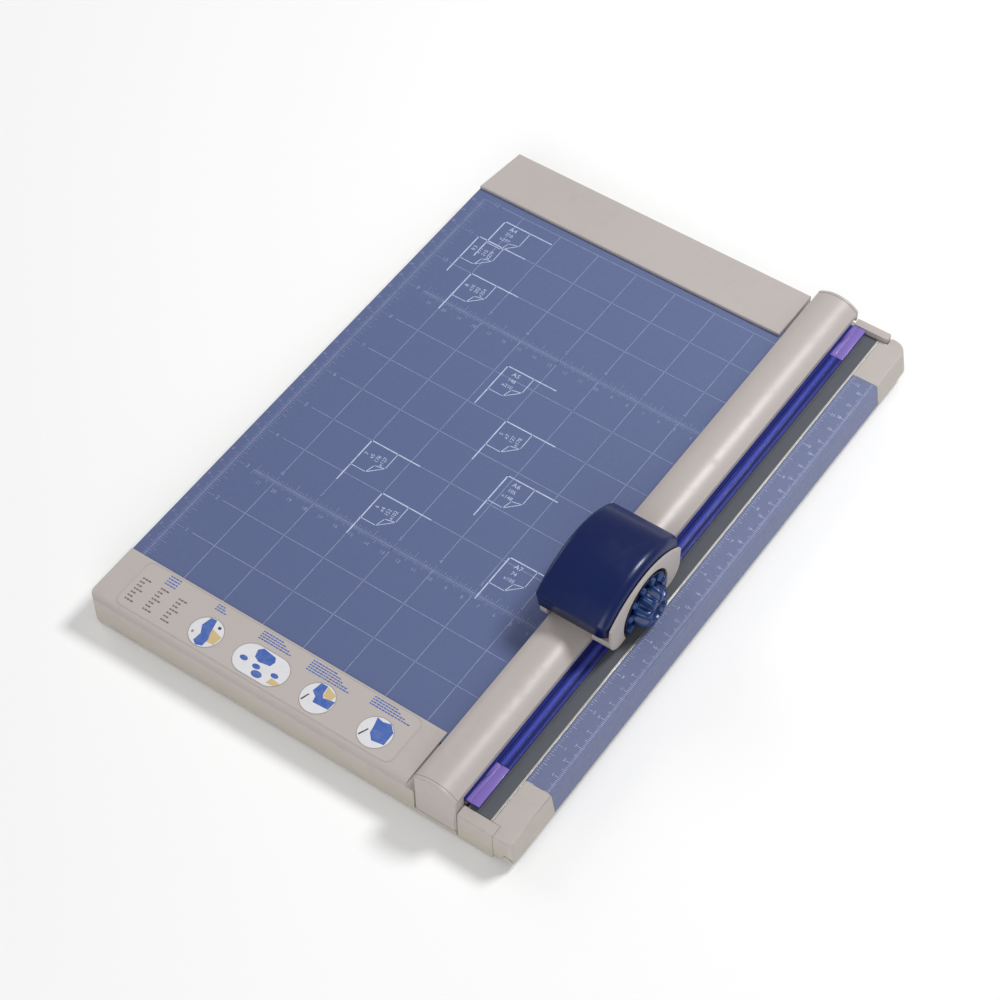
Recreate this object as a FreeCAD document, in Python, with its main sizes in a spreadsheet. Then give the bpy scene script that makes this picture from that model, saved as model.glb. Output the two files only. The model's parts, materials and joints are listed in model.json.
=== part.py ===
"""Rotary paper trimmer: a ruled deck, a hinged guide rail and a sliding blade carriage.

Frame: millimetres, +Z up, +X towards the cutting side, +Y towards the far ledge.
The origin is on the table, under the middle of the base.
"""
import FreeCAD, Part
import os
import re
import Sketcher

SIZES = {
    # the base
    "base_length": 379.2,
    "base_width": 262.2,
    "deck_height": 20.0,
    "foot_height": 1.0,
    "tray_wall": 2.2,
    "tray_corner": 5.0,
    "plate_thick": 1.8,
    "plate_tuck": 6.0,
    "seam": 0.2,
    "front_ledge_depth": 35.2,
    "front_ledge_rise": 0.8,
    "front_ledge_slope": 3.6,
    "back_ledge_depth": 33.7,
    "back_ledge_rise": 2.2,
    "back_ledge_taper": 4.0,
    "ledge_end_gap": 5.2,
    "label_left": 13.0,
    "label_right": 12.2,
    "label_back": 1.0,
    "label_round": 5.0,
    "label_thick": 0.15,
    "cover_sheet": 1.5,
    "foot_radius": 7.0,
    "boss_radius": 4.0,
    "screw_radius": 1.25,
    "head_radius": 2.8,
    # the mat and its channel
    "channel_width": 14.5,
    "channel_depth": 5.3,
    "channel_wall": 1.2,
    "mat_drop": 0.3,
    "stop_depth": 6.8,
    "stop_reach": 4.5,
    "stop_rise": 3.0,
    # the side door over the storage bay
    "door_width": 17.0,
    "door_lean": 2.2,
    "door_skin": 1.0,
    "door_panel": 1.7,
    "edge_round": 0.8,
    "knuckle_inset": 4.0,
    "knuckle_radius": 2.95,
    "knuckle_height": 5.5,
    "lug_depth": 3.0,
    "lug_inset_back": 8.0,
    "cap_length": 35.0,
    "cap_round_front": 3.0,
    "cap_round_back": 8.0,
    "pin_head": 0.6,
    "door_pin_radius": 1.5,
    "running_fit": 0.05,
    # the guide rail
    "rail_inset": 34.0,
    "rail_width": 24.5,
    "rail_shoulder": 11.0,
    "rail_skin": 2.0,
    "rail_lift": 5.6,
    "core_lift": 3.0,
    "core_height": 5.0,
    "core_floor": 1.8,
    "core_roof": 1.0,
    "block_depth": 7.0,
    "block_bottom": 4.0,
    "block_round": 1.0,
    "rail_gap": 0.3,
    "hinge_inset": 6.6,
    "hinge_rise": 7.0,
    "hinge_pin_radius": 2.0,
    "ear_radius": 4.0,
    "ear_thick": 2.8,
    "hub_width": 5.4,
    # the paper clamp
    "clamp_width": 15.4,
    "clamp_reach": 7.9,
    "clamp_lift": 0.6,
    "clamp_thick": 1.0,
    "pad_length": 25.4,
    "stud_radius": 1.5,
    # the carriage
    "carriage_place": -43.0,
    "saddle_half": 31.6,
    "saddle_lift": 4.2,
    "saddle_wall": 1.5,
    "shoe_thick": 1.1,
    "web_thick": 8.4,
    "crown_gap": 0.6,
    "cheek_round": 10.0,
    "cover_left_reach": 6.7,
    "cover_right_reach": 10.8,
    "cover_half": 34.9,
    "cover_arc": 52.0,
    "cover_rise": 41.5,
    "cover_clear": 17.5,
    "cover_draft": 1.8,
    "cover_skin": 2.2,
    "press_travel": 1.45,
    "post_radius": 2.6,
    "post_spread": 16.0,
    # the blade cartridge
    "blade_height": 13.7,
    "blade_radius": 12.5,
    "blade_thick": 0.4,
    "blade_gap": 0.6,
    "axle_radius": 1.45,
    "ring_radius": 18.0,
    "ring_depth": 4.6,
    "ring_wall": 1.6,
    "knob_radius": 12.0,
    "knob_tip_radius": 10.2,
    "knob_length": 8.6,
}

PLACES = {
    "right": "base_width / 2",
    "left": "-base_width / 2",
    "back": "base_length / 2",
    "front": "-base_length / 2",
    "front_line": "front + front_ledge_depth",
    "back_line": "back - back_ledge_depth",
    "shelf": "deck_height - plate_thick",
    "shelf_under": "shelf - tray_wall",
    "sheet_top": "foot_height + seam * 2 + cover_sheet",
    "door_left": "right - door_width",
    "channel_right": "door_left - seam",
    "channel_left": "channel_right - channel_width",
    "channel_floor": "deck_height - channel_depth",
    "stop_right": "door_left + stop_reach",
    "stop_front": "front + stop_depth",
    "stop_back": "back - stop_depth + 1.4",
    "knuckle_x": "right - knuckle_inset",
    "lug_back": "back - lug_inset_back",
    "rail_right": "right - rail_inset",
    "rail_left": "rail_right - rail_width",
    "rail_mid": "(rail_left + rail_right) / 2",
    "rail_top": "deck_height + rail_shoulder",
    "rail_front": "front + seam / 2",
    "rail_back": "back - seam * 3",
    "skirt": "deck_height + rail_lift",
    "core_bottom": "deck_height + core_lift",
    "core_top": "core_bottom + core_height",
    "core_side": "rail_skin + seam",
    "ledge_right": "rail_left - ledge_end_gap",
    "tray_right": "rail_right + seam",
    "pivot_y": "back - hinge_inset",
    "pivot_z": "deck_height + hinge_rise",
    "core_front": "rail_front + block_depth + seam",
    "core_back": "pivot_y - 19",
    "hub_left": "rail_mid - hub_width / 2 - 2.75",
    "hub_right": "hub_left + hub_width",
    "clamp_right": "rail_right + clamp_reach",
    "clamp_left": "clamp_right - clamp_width",
    "clamp_bottom": "deck_height + clamp_lift",
    "clamp_top": "clamp_bottom + clamp_thick",
    "clamp_front": "rail_front + block_depth + 1.6",
    "clamp_back": "back - stop_depth + 1.4",
    "saddle_bottom": "deck_height + saddle_lift",
    "saddle_left": "cover_left + 1.5",
    "saddle_right": "cover_right + 1.7",
    "crown": "rail_top + rail_width * 4 / 24.5",
    "rail_radius": "rail_width * 18.4 / 24.5",
    "web_bottom": "crown + crown_gap",
    "web_top": "web_bottom + web_thick",
    "cover_peak": "deck_height + cover_rise",
    "cover_bottom": "deck_height + cover_clear",
    "arch_centre": "cover_peak - cover_arc",
    "arch_inside": "cover_arc - cover_skin",
    "spring_reach": "post_spread + post_radius + 1.6",
    "spring_top": "arch_centre + sqrt(arch_inside ^ 2 - spring_reach ^ 2)",
    "cover_left": "rail_left - cover_left_reach",
    "cover_right": "rail_right + cover_right_reach",
    "blade_z": "deck_height + blade_height",
    "blade_left": "clamp_right + blade_gap",
    "cheek_left": "rail_right + shoe_thick + seam / 2",
    "bay_left": "cheek_left + saddle_wall",
    "bay_right": "cover_right + 0.4",
    "holder_right": "clamp_right - seam / 2",
    "ring_left": "clamp_right",
    "knob_left": "ring_left + 3.8",
}

doc = FreeCAD.newDocument("PaperTrimmer")
sheet = doc.addObject("Spreadsheet::Sheet", "Sizes")
for row, (alias, number) in enumerate(SIZES.items(), start=1):
    sheet.set(f"A{row}", alias)
    sheet.set(f"B{row}", str(number))
    sheet.setAlias(f"B{row}", alias)
doc.recompute()

VECTOR = FreeCAD.Vector
LYING = {
    "x": FreeCAD.Rotation(VECTOR(0, 1, 0), 90),
    "y": FreeCAD.Rotation(VECTOR(1, 0, 0), -90),
    "z": FreeCAD.Rotation(),
}
NORMAL = {"XY": "z", "XZ": "y", "YZ": "x"}
nodes = []


def bound(text):
    """Spell a size or place out on the sheet's own cells."""
    def spell(match):
        word = match.group()
        if word in PLACES:
            return "(" + bound(PLACES[word]) + ")"
        return "Sizes." + word if word in SIZES else word
    return re.sub(r"[a-z_]+", spell, text)


def number(text):
    """Work a size or place out as a plain number."""
    return float(sheet.evalExpression(bound(text)))


def bind(thing, name, text):
    thing.setExpression(name, bound(text))


def box(name, across, along, up):
    """A block between two places on each axis."""
    solid = doc.addObject("Part::Box", name)
    sides = (("Length", "x", across), ("Width", "y", along), ("Height", "z", up))
    for side, axis, (low, high) in sides:
        bind(solid, side, f"({high}) - ({low})")
        bind(solid, "Placement.Base." + axis, low)
    return solid


def rod(name, axis, radius, start, length):
    """A round bar from its start along one axis."""
    solid = doc.addObject("Part::Cylinder", name)
    solid.Placement = FreeCAD.Placement(VECTOR(), LYING[axis])
    bind(solid, "Radius", radius)
    bind(solid, "Height", length)
    for letter, place in zip("xyz", start):
        bind(solid, "Placement.Base." + letter, place)
    return solid


def draw(sketch, outline):
    """Close an outline of (across, up) corners; a third item is the arriving arc's radius."""
    corners = [VECTOR(number(corner[0]), number(corner[1]), 0) for corner in outline]
    ends = []
    for index, corner in enumerate(outline):
        start, end = corners[index - 1], corners[index]
        if len(corner) == 2:
            line = sketch.addGeometry(Part.LineSegment(start, end))
            ends.append((line, 1, 2))
            continue
        radius = number(corner[2])
        chord = end - start
        outward = VECTOR(chord.y, -chord.x, 0).normalize()
        sagitta = radius - (radius ** 2 - (chord.Length / 2) ** 2) ** 0.5
        arc = sketch.addGeometry(Part.Arc(start, (start + end) / 2 + outward * sagitta, end))
        flipped = sketch.Geometry[arc].StartPoint.distanceToPoint(start) > 1e-6
        ends.append((arc, 2, 1) if flipped else (arc, 1, 2))
        sketch.addConstraint(Sketcher.Constraint("Radius", arc, radius))
        bind(sketch, f"Constraints[{sketch.ConstraintCount - 1}]", corner[2])
    for index, corner in enumerate(outline):
        line, start, end = ends[index]
        after = ends[(index + 1) % len(ends)]
        sketch.addConstraint(Sketcher.Constraint("Coincident", line, end, after[0], after[1]))
        for kind, place in (("DistanceX", corner[0]), ("DistanceY", corner[1])):
            sketch.addConstraint(Sketcher.Constraint(kind, -1, 1, line, end, number(place)))
            bind(sketch, f"Constraints[{sketch.ConstraintCount - 1}]", place)


def prism(name, plane, outline, low, high, rounds=()):
    """A padded sketch; rounds are (radius, corners' indexes or an edge test) pairs."""
    body = doc.addObject("PartDesign::Body", name)
    sketch = body.newObject("Sketcher::SketchObject", name + "_sketch")
    origin = [item for item in body.Origin.OriginFeatures if item.Role == plane + "_Plane"][0]
    sketch.AttachmentSupport = [(origin, "")]
    sketch.MapMode = "FlatFace"
    draw(sketch, outline)
    pad = body.newObject("PartDesign::Pad", name + "_pad")
    pad.Profile = sketch
    pad.Reversed = plane == "XZ"
    bind(pad, "Length", f"({high}) - ({low})")
    bind(body, "Placement.Base." + NORMAL[plane], low)
    for count, (radius, test) in enumerate(rounds):
        doc.recompute()
        last = body.Tip
        edges = [f"Edge{i}" for i, edge in enumerate(last.Shape.Edges, start=1) if test(edge)]
        if not edges:
            raise RuntimeError(f"{name}: no edge to round")
        fillet = body.newObject("PartDesign::Fillet", f"{name}_round{count}")
        fillet.Base = (last, edges)
        bind(fillet, "Radius", radius)
    return body


def upright(*corners):
    """An edge test: straight up at one of these (across, along) corners."""
    places = [(number(x), number(y)) for x, y in corners]

    def test(edge):
        first, last = edge.Vertexes[0].Point, edge.Vertexes[-1].Point
        level = abs(first.x - last.x) + abs(first.y - last.y) < 1e-4
        near = any(abs(first.x - x) + abs(first.y - y) < 1e-3 for x, y in places)
        return level and near
    return test


def fuse(name, *pieces):
    solid = doc.addObject("Part::MultiFuse", name)
    solid.Shapes = list(pieces)
    solid.Refine = True
    return solid


def cut(name, whole, *tools):
    solid = doc.addObject("Part::Cut", name)
    solid.Base = whole
    solid.Tool = tools[0] if len(tools) == 1 else fuse(name + "_tools", *tools)
    return solid


def common(name, first, second):
    solid = doc.addObject("Part::MultiCommon", name)
    solid.Shapes = [first, second]
    return solid


def group(name, pieces):
    """Like pieces that share one node as separate solids."""
    solid = doc.addObject("Part::Compound", name)
    solid.Links = list(pieces)
    return solid


def keep(solid, label):
    """Give a finished sub-part its label."""
    solid.Label = label
    nodes.append(solid)
    return solid


def screw(name, axis, shank, head, start, shank_length, head_length):
    """A screw whose head starts at start and whose shank runs on along +axis."""
    cap = rod(name + "_head", axis, head, start, head_length)
    after = list(start)
    index = "xyz".index(axis)
    after[index] = f"({start[index]}) + ({head_length})"
    return fuse(name, cap, rod(name + "_shank", axis, shank, after, shank_length))


def coil(name, mean_radius, wire, turns, place, height):
    """A compression spring standing on its place."""
    pitch = (number(height) - 2 * wire) / turns
    helix = Part.makeHelix(pitch, pitch * turns, mean_radius)
    ring = Part.Wire([Part.makeCircle(wire, VECTOR(mean_radius, 0, 0), VECTOR(0, 1, 0))])
    solid = doc.addObject("Part::Feature", name)
    solid.Shape = Part.Wire(helix.Edges).makePipeShell([ring], True, True)
    x, y, z = (number(item) for item in place)
    solid.Placement = FreeCAD.Placement(VECTOR(x, y, z + wire), FreeCAD.Rotation())
    return solid


# ---- base tray: moulded shell, open below, with the wells that hold the other pieces
def plan(inset):
    """The main tray's outline, moved inwards by inset."""
    return [
        (f"left + {inset}", f"front + {inset}"),
        (f"tray_right - {inset}", f"front + {inset}"),
        (f"tray_right - {inset}", f"back - {inset}"),
        (f"left + back_ledge_taper + {inset}", f"back - {inset}"),
        (f"left + {inset}", "back_line"),
    ]


def stop_top(edge):
    """The top edges of the front stop, but for the one against the mat."""
    points = [vertex.Point for vertex in edge.Vertexes]
    top = all(abs(point.z - number("deck_height - foot_height")) < 1e-3 for point in points)
    return top and all(point.y < number("stop_front") - 1 for point in points)


tray_corners = upright(("left", "front"), ("left + back_ledge_taper", "back"))
tray_block = prism("tray_block", "XY", plan("0"), "foot_height", "shelf",
                   [("tray_corner", tray_corners)])
hollow = prism("tray_hollow", "XY", plan("tray_wall"), "foot_height - 1", "shelf_under")
well_block = box("well_block", ("rail_left - rail_gap - tray_wall", "tray_right"),
                 ("front", "front + block_depth + rail_gap + tray_wall"), ("foot_height", "shelf"))

boss_places = []
for column in ("left + 18", "ledge_right - 8"):
    for line in ("front + 24", "0.5", "back - 24"):
        boss_places.append((column, line))
bosses = []
boss_bores = []
for count, (x, y) in enumerate(boss_places):
    bosses.append(rod(f"boss_{count}", "z", "boss_radius", (x, y, "sheet_top"),
                      "shelf_under - sheet_top + 0.5"))
    boss_bores.append(rod(f"boss_bore_{count}", "z", "screw_radius", (x, y, "sheet_top - 1"), "9"))
bracket_places = [("rail_mid - 2.75", "pivot_y - 15.5"), ("rail_mid - 2.75", "pivot_y - 6")]
for count, (x, y) in enumerate(bracket_places):
    bosses.append(rod(f"bracket_boss_{count}", "z", "boss_radius", (x, y, "shelf - 9"), "8"))
    boss_bores.append(rod(f"bracket_bore_{count}", "z", "screw_radius", (x, y, "shelf - 8"), "9"))

tray_shell = cut("tray_shell", tray_block, hollow)
well = box("block_well", ("rail_left - rail_gap", "tray_right + 1"),
           ("front - 1", "rail_front + block_depth + rail_gap"),
           ("block_bottom - rail_gap", "deck_height + 1"))
keep(cut("base_tray_cut", fuse("tray_solid", tray_shell, well_block, *bosses), well, *boss_bores),
     "base_tray")

# ---- side trough: seat of the mat channel and storage bay, closed by two end blocks with the door's lugs
trough_reach = ("stop_front", "stop_back + seam")
bay_floor = ("foot_height", "foot_height + tray_wall")
trough = [
    box("channel_seat", ("tray_right", "channel_right"), trough_reach,
        ("channel_floor - tray_wall", "channel_floor")),
    box("bay_wall", ("channel_right - tray_wall", "channel_right"), trough_reach,
        ("foot_height", "channel_floor")),
    box("bay_floor", ("tray_right", "knuckle_x - knuckle_radius - rail_gap"), trough_reach, bay_floor),
]
keep(fuse("trough_solid", *trough), "side_trough")

stop_outline = [
    ("tray_right", "front"),
    ("stop_right", "front"),
    ("stop_right", "stop_front"),
    ("tray_right", "stop_front"),
]
end_blocks = {
    "front": [prism("stop_block", "XY", stop_outline, "foot_height", "deck_height",
                    [("block_round * 1.5", upright(("tray_right", "front"))), ("block_round", stop_top)])],
    "back": [box("end_block", ("tray_right", "stop_right"), ("stop_back + seam", "back"),
                 ("foot_height", "shelf")),
             box("lug_rib", ("stop_right - 2", "stop_right"), ("lug_back - lug_depth", "back"),
                 ("foot_height", "knuckle_height + knuckle_radius"))],
}
lug_bore = rod("lug_bore", "y", "door_pin_radius", ("knuckle_x", "front - 1", "knuckle_height"),
               "base_length + 2")
floor_room = box("floor_room", ("tray_right - 1", "knuckle_x - knuckle_radius - rail_gap"), trough_reach,
                 ("0", "foot_height + tray_wall"))
trough_ends = []
for end, low in (("front", "front + pin_head"), ("back", "lug_back - lug_depth")):
    arm = box(f"lug_arm_{end}", ("stop_right - 2", "knuckle_x"), (low, f"{low} + lug_depth"),
              ("knuckle_height - knuckle_radius", "knuckle_height + knuckle_radius"))
    lug = rod(f"lug_{end}", "y", "knuckle_radius", ("knuckle_x", low, "knuckle_height"), "lug_depth")
    block = fuse(f"trough_end_form_{end}", *end_blocks[end], arm, lug)
    trough_ends.append(cut(f"trough_end_{end}", block, lug_bore, floor_room))
keep(group("trough_end_group", trough_ends), "trough_ends")

# ---- bottom cover, its screws and the feet
sheet_plate = prism("sheet_plate", "XY", plan("(tray_wall + rail_gap)"), "foot_height + seam * 2",
                    "sheet_top")
sheet_cuts = [
    box("sheet_notch_front", ("rail_left - rail_gap * 2 - tray_wall", "tray_right"),
        ("front", "front + block_depth + rail_gap * 2 + tray_wall"), ("0", "shelf")),
]
screws = []
for count, (x, y) in enumerate(boss_places):
    sheet_cuts.append(rod(f"sheet_hole_{count}", "z", "screw_radius + rail_gap", (x, y, "0"), "shelf"))
    sheet_cuts.append(rod(f"sheet_sink_{count}", "z", "head_radius + seam", (x, y, "0"), "sheet_top - 0.6"))
    screws.append(screw(f"bottom_screw_{count}", "z", "screw_radius", "head_radius",
                        (x, y, "sheet_top - 1.4"),
                        "6", "0.8"))
keep(cut("bottom_cover_cut", sheet_plate, *sheet_cuts), "bottom_cover")
keep(group("bottom_screw_group", screws), "bottom_screws")

feet = []
for across, x in enumerate(("left + 34", "tray_right - tray_wall - foot_radius - 4")):
    for along, y in enumerate(("front + 40", "16", "back - 40")):
        feet.append(rod(f"foot_{across}{along}", "z", "foot_radius", (x, y, "0"), "foot_height + seam * 2"))
keep(group("rubber_foot_group", feet), "rubber_feet")

# ---- cutting plate, ledges and label
plate_outline = [
    ("left", "front_line - plate_tuck"),
    ("channel_left - seam", "front_line - plate_tuck"),
    ("channel_left - seam", "back_line + plate_tuck"),
    ("left + back_ledge_taper * plate_tuck / back_ledge_depth", "back_line + plate_tuck"),
    ("left", "back_line"),
]
keep(prism("plate_body", "XY", plate_outline, "shelf", "deck_height"), "cutting_plate")

ledge_profile = [
    ("front_line", "shelf"),
    ("front_line", "deck_height + front_ledge_rise"),
    ("front + front_ledge_slope", "deck_height + front_ledge_rise"),
    ("front", "shelf", "front_ledge_slope * 1.3"),
]
ledge_bar = prism("front_ledge_bar", "YZ", ledge_profile, "left - 1", "ledge_right")
ledge_plan = prism("front_ledge_plan", "XY", plan("0"), "shelf - 1", "deck_height + 5",
                   [("tray_corner", upright(("left", "front")))])
ledge_rabbet = box("front_rabbet", ("left - 1", "right"), ("front_line - plate_tuck - seam",
                                                           "front_line + 1"),
                   ("shelf - 1", "deck_height"))
keep(cut("front_ledge_cut", common("front_ledge_form", ledge_bar, ledge_plan), ledge_rabbet), "front_ledge")

back_outline = [
    ("left", "back_line"),
    ("ledge_right", "back_line"),
    ("ledge_right", "back"),
    ("left + back_ledge_taper", "back"),
]


def back_ledge_top(edge):
    top = number("deck_height + back_ledge_rise - shelf")
    return all(abs(vertex.Z - top) < 1e-4 for vertex in edge.Vertexes)


back_bar = prism("back_ledge_bar", "XY", back_outline, "shelf", "deck_height + back_ledge_rise",
                 [("front_ledge_rise", back_ledge_top)])
back_rabbet = box("back_rabbet", ("left - 1", "right"), ("back_line - 1", "back_line + plate_tuck + seam"),
                  ("shelf - 1", "deck_height"))
keep(cut("back_ledge_cut", back_bar, back_rabbet), "back_ledge")

label_outline = [
    ("left + label_left", "front + front_ledge_slope + seam"),
    ("ledge_right - label_right", "front + front_ledge_slope + seam"),
    ("ledge_right - label_right", "front_line - label_back"),
    ("left + label_left", "front_line - label_back"),
]
label_corners = upright(*label_outline)
keep(prism("label_body", "XY", label_outline, "deck_height + front_ledge_rise",
           "deck_height + front_ledge_rise + label_thick", [("label_round", label_corners)]),
           "instruction_label")

# ---- mat channel, mat and the rear stop
channel_profile = [
    ("channel_left", "channel_floor"),
    ("channel_right", "channel_floor"),
    ("channel_right", "deck_height"),
    ("channel_right - channel_wall", "deck_height"),
    ("channel_right - channel_wall", "channel_floor + channel_wall"),
    ("channel_left + channel_wall", "channel_floor + channel_wall"),
    ("channel_left + channel_wall", "deck_height - mat_drop * 2"),
    ("channel_left", "deck_height - mat_drop * 2"),
]
keep(prism("channel_body", "XZ", channel_profile, "stop_front + seam", "stop_back"), "mat_channel")
keep(box("mat_box", ("channel_left + channel_wall + seam / 2", "channel_right - channel_wall - seam / 2"),
         ("stop_front + seam * 2", "stop_back - seam"), ("channel_floor + channel_wall",
                                                         "deck_height - mat_drop")),
     "cutting_mat")
rear_stop_outline = [
    ("rail_right + seam * 2", "stop_back + seam * 2"),
    ("stop_right - seam", "stop_back + seam * 2"),
    ("stop_right - seam", "back - seam * 2"),
    ("rail_right + seam * 2", "back - seam * 2"),
]
stop_corners = upright(("stop_right - seam", "stop_back + seam * 2"),
                       ("stop_right - seam", "back - seam * 2"))
keep(prism("stop_body", "XY", rear_stop_outline, "shelf", "deck_height + stop_rise",
           [("stop_rise / 2", stop_corners)]),
     "mat_stop_rear")

# ---- rail hinge bracket, its screws and pin
ear_profile = [
    ("pivot_y - ear_radius", "pivot_z"),
    ("pivot_y - 14", "deck_height"),
    ("pivot_y - 14", "shelf"),
    ("pivot_y - 2", "shelf"),
    ("pivot_y - 2", "deck_height - 0.9"),
    ("pivot_y", "pivot_z - ear_radius"),
    ("pivot_y", "pivot_z"),
]
bracket_pieces = [box("bracket_foot", ("hub_left - seam - ear_thick", "hub_right + seam + ear_thick"),
                      ("pivot_y - 19", "pivot_y - 2"), ("shelf", "deck_height - seam"))]
for side, low in (("left", "hub_left - seam - ear_thick"), ("right", "hub_right + seam")):
    bracket_pieces.append(prism(f"ear_{side}", "YZ", ear_profile, low, f"{low} + ear_thick"))
    bracket_pieces.append(rod(f"ear_hub_{side}", "x", "ear_radius", (low, "pivot_y", "pivot_z"),
                              "ear_thick"))
bracket_cuts = [rod("ear_bore", "x", "hinge_pin_radius", ("rail_left", "pivot_y", "pivot_z"), "rail_width")]
bracket_screws = []
for count, (x, y) in enumerate(bracket_places):
    bracket_cuts.append(rod(f"foot_hole_{count}", "z", "screw_radius", (x, y, "shelf - 1"), "5"))
    shank = rod(f"bracket_screw_shank_{count}", "z", "screw_radius", (x, y, "shelf - 7"),
                "plate_thick - seam + 7")
    cap = rod(f"bracket_screw_cap_{count}", "z", "stud_radius + 0.7", (x, y, "deck_height - seam"), "1.2")
    bracket_screws.append(fuse(f"bracket_screw_{count}", shank, cap))
keep(cut("bracket_cut", fuse("bracket_form", *bracket_pieces), *bracket_cuts), "rail_hinge_bracket")
keep(group("bracket_screw_group", bracket_screws), "bracket_screws")
keep(rod("hinge_pin_rod", "x", "hinge_pin_radius",
         ("hub_left - ear_thick - seam * 5", "pivot_y", "pivot_z"), "hub_width + ear_thick * 2 + seam * 10"),
     "rail_hinge_pin")

# ---- door over the storage bay: carrier, ruler skin and two caps
pin_starts = {"front": ("front", "front + pin_head"), "back": ("lug_back", "lug_back - lug_depth - 5")}
pins = []
for end, (head, shank) in pin_starts.items():
    cap = rod(f"door_pin_head_{end}", "y", "door_pin_radius + 1.1", ("knuckle_x", head, "knuckle_height"),
              "pin_head")
    shank = rod(f"door_pin_shank_{end}", "y", "door_pin_radius", ("knuckle_x", shank, "knuckle_height"),
                "lug_depth + 5")
    pins.append(fuse(f"door_pin_{end}", cap, shank))
keep(group("door_pin_group", pins), "door_hinge_pins")


def skin(depth):
    """The door's outer line from the seam, over the edge and down the side, moved in by depth."""
    return [
        ("door_left", f"deck_height - {depth}"),
        (f"right - door_lean - {depth}", f"deck_height - {depth}"),
        (f"right - {depth}", "knuckle_height + 1"),
    ]


def shell(depth, thick):
    return skin(depth) + list(reversed(skin(f"({depth} + {thick})")))


def long_edge(edge):
    """The long edge where the door's top turns down."""
    points = [vertex.Point for vertex in edge.Vertexes]
    corner = number("right - door_lean")
    return all(abs(point.x - corner) + abs(point.z - number("deck_height")) < 1e-3 for point in points)


def leaning_edge(end):
    """The corner edge that runs down the side at one end of a cap."""
    def test(edge):
        points = [vertex.Point for vertex in edge.Vertexes]
        tall = abs(points[0].z - points[-1].z) > 5
        outer = min(point.x for point in points) > number("right - door_lean * 2")
        return tall and outer and all(abs(point.y - end) < 1e-4 for point in points)
    return test


def rim_edge(split):
    """The cap's top edges, but for those that meet the deck and the ruler."""
    def test(edge):
        points = [vertex.Point for vertex in edge.Vertexes]
        top = all(abs(point.z - number("deck_height")) < 1e-3 for point in points)
        inner = all(abs(point.x - number("door_left")) < 1e-3 for point in points)
        return top and not inner and not all(abs(point.y - split) < 1e-3 for point in points)
    return test


door_low = "front + lug_depth + pin_head + rail_gap"
door_high = "lug_back - lug_depth - rail_gap"
carrier_panel = prism("carrier_panel", "XZ", shell("door_skin", "door_panel"),
                      "front + cap_round_front + tray_wall", "back - cap_round_back - tray_wall")
carrier_knuckle = rod("carrier_knuckle", "y", "knuckle_radius", ("knuckle_x", door_low, "knuckle_height"),
                      f"{door_high} - ({door_low})")
carrier_bore = rod("carrier_bore", "y", "door_pin_radius + running_fit",
                   ("knuckle_x", "front", "knuckle_height"),
                   "base_length")
notch_front = box("notch_front", ("door_left - 1", "stop_right + seam"), ("front - 2", "stop_front + seam"),
                  ("0", "deck_height + 1"))
notch_back = box("notch_back", ("door_left - 1", "stop_right + seam"), ("stop_back", "back + 2"),
                 ("0", "deck_height + 1"))
lug_spaces = {}
for end, low, high in (("front", "front - 1", door_low), ("rear", door_high,
                                                          "lug_back + pin_head + rail_gap")):
    lug_spaces[end] = [
        rod(f"lug_space_{end}", "y", "knuckle_radius + rail_gap", ("knuckle_x", low, "knuckle_height"),
            f"{high} - ({low})"),
        box(f"arm_space_{end}", ("door_left - 1", "knuckle_x"), (low, high),
            ("0", "knuckle_height + knuckle_radius + rail_gap")),
    ]
keep(cut("carrier_cut", fuse("carrier_form", carrier_panel, carrier_knuckle), carrier_bore, notch_front,
         notch_back,
         *lug_spaces["rear"]), "door_carrier")

ruler_low = "front + cap_length"
ruler_high = "back - cap_length + 0.6"
keep(prism("ruler_body", "XZ", shell("0", "door_skin"), ruler_low, ruler_high, [("edge_round", long_edge)]),
     "side_ruler")


for end, low, high, corner, notch in (
        ("front", "front", "front + cap_length - seam", "cap_round_front", notch_front),
        ("rear", "back - cap_length + 0.6 + seam", "back", "cap_round_back", notch_back)):
    length = number(f"{high} - ({low})")
    outer_end, split = (0, length) if end == "front" else (length, 0)
    block = prism(f"cap_block_{end}", "XZ", skin("0") + [("door_left", "knuckle_height + 1")], low, high,
                  [(corner, leaning_edge(outer_end)), ("edge_round", rim_edge(split))])
    room_low = f"{low} + tray_wall" if end == "front" else f"{low} - 1"
    room_high = f"{high} + 1" if end == "front" else f"{high} - tray_wall"
    room_length = number(f"{room_high} - ({room_low})")
    room_outline = [("door_left - 1", "deck_height - door_skin"), *skin("door_skin")[1:],
                    ("door_left - 1", "knuckle_height + 1")]
    room = prism(f"cap_room_{end}", "XZ", room_outline, room_low, room_high,
                 [(f"{corner} - door_skin", leaning_edge(0 if end == "front" else room_length))])
    keep(cut(f"cap_{end}_cut", block, room, notch, *lug_spaces[end]), f"door_cap_{end}")


# ---- guide rail: cover, core, end blocks
def rail_outline(inset, bottom):
    """The rail's cross-section, moved in by inset."""
    return [
        (f"rail_left + {inset}", bottom),
        (f"rail_right - {inset}", bottom),
        (f"rail_right - {inset}", f"rail_top - 2 - {inset} / 2"),
        (f"rail_left + {inset}", f"rail_top - {inset} / 2", f"rail_radius - {inset}"),
    ]


def face_edge(end, bottom):
    """The edges round a rail end face, but for its bottom one."""
    def test(edge):
        points = [vertex.Point for vertex in edge.Vertexes]
        low = all(abs(point.z - number(bottom)) < 1e-3 for point in points)
        return not low and all(abs(point.y - end) < 1e-3 for point in points)
    return test


rail_bar = prism("rail_bar", "XZ", rail_outline("0", "skirt"), "rail_front + 2.2", "rail_back - 2.2")
rail_bore = prism("rail_bore", "XZ", rail_outline("rail_skin", "skirt - 1"), "rail_front", "rail_back")
keep(cut("rail_cover_cut", rail_bar, rail_bore), "rail_cover")

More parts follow.
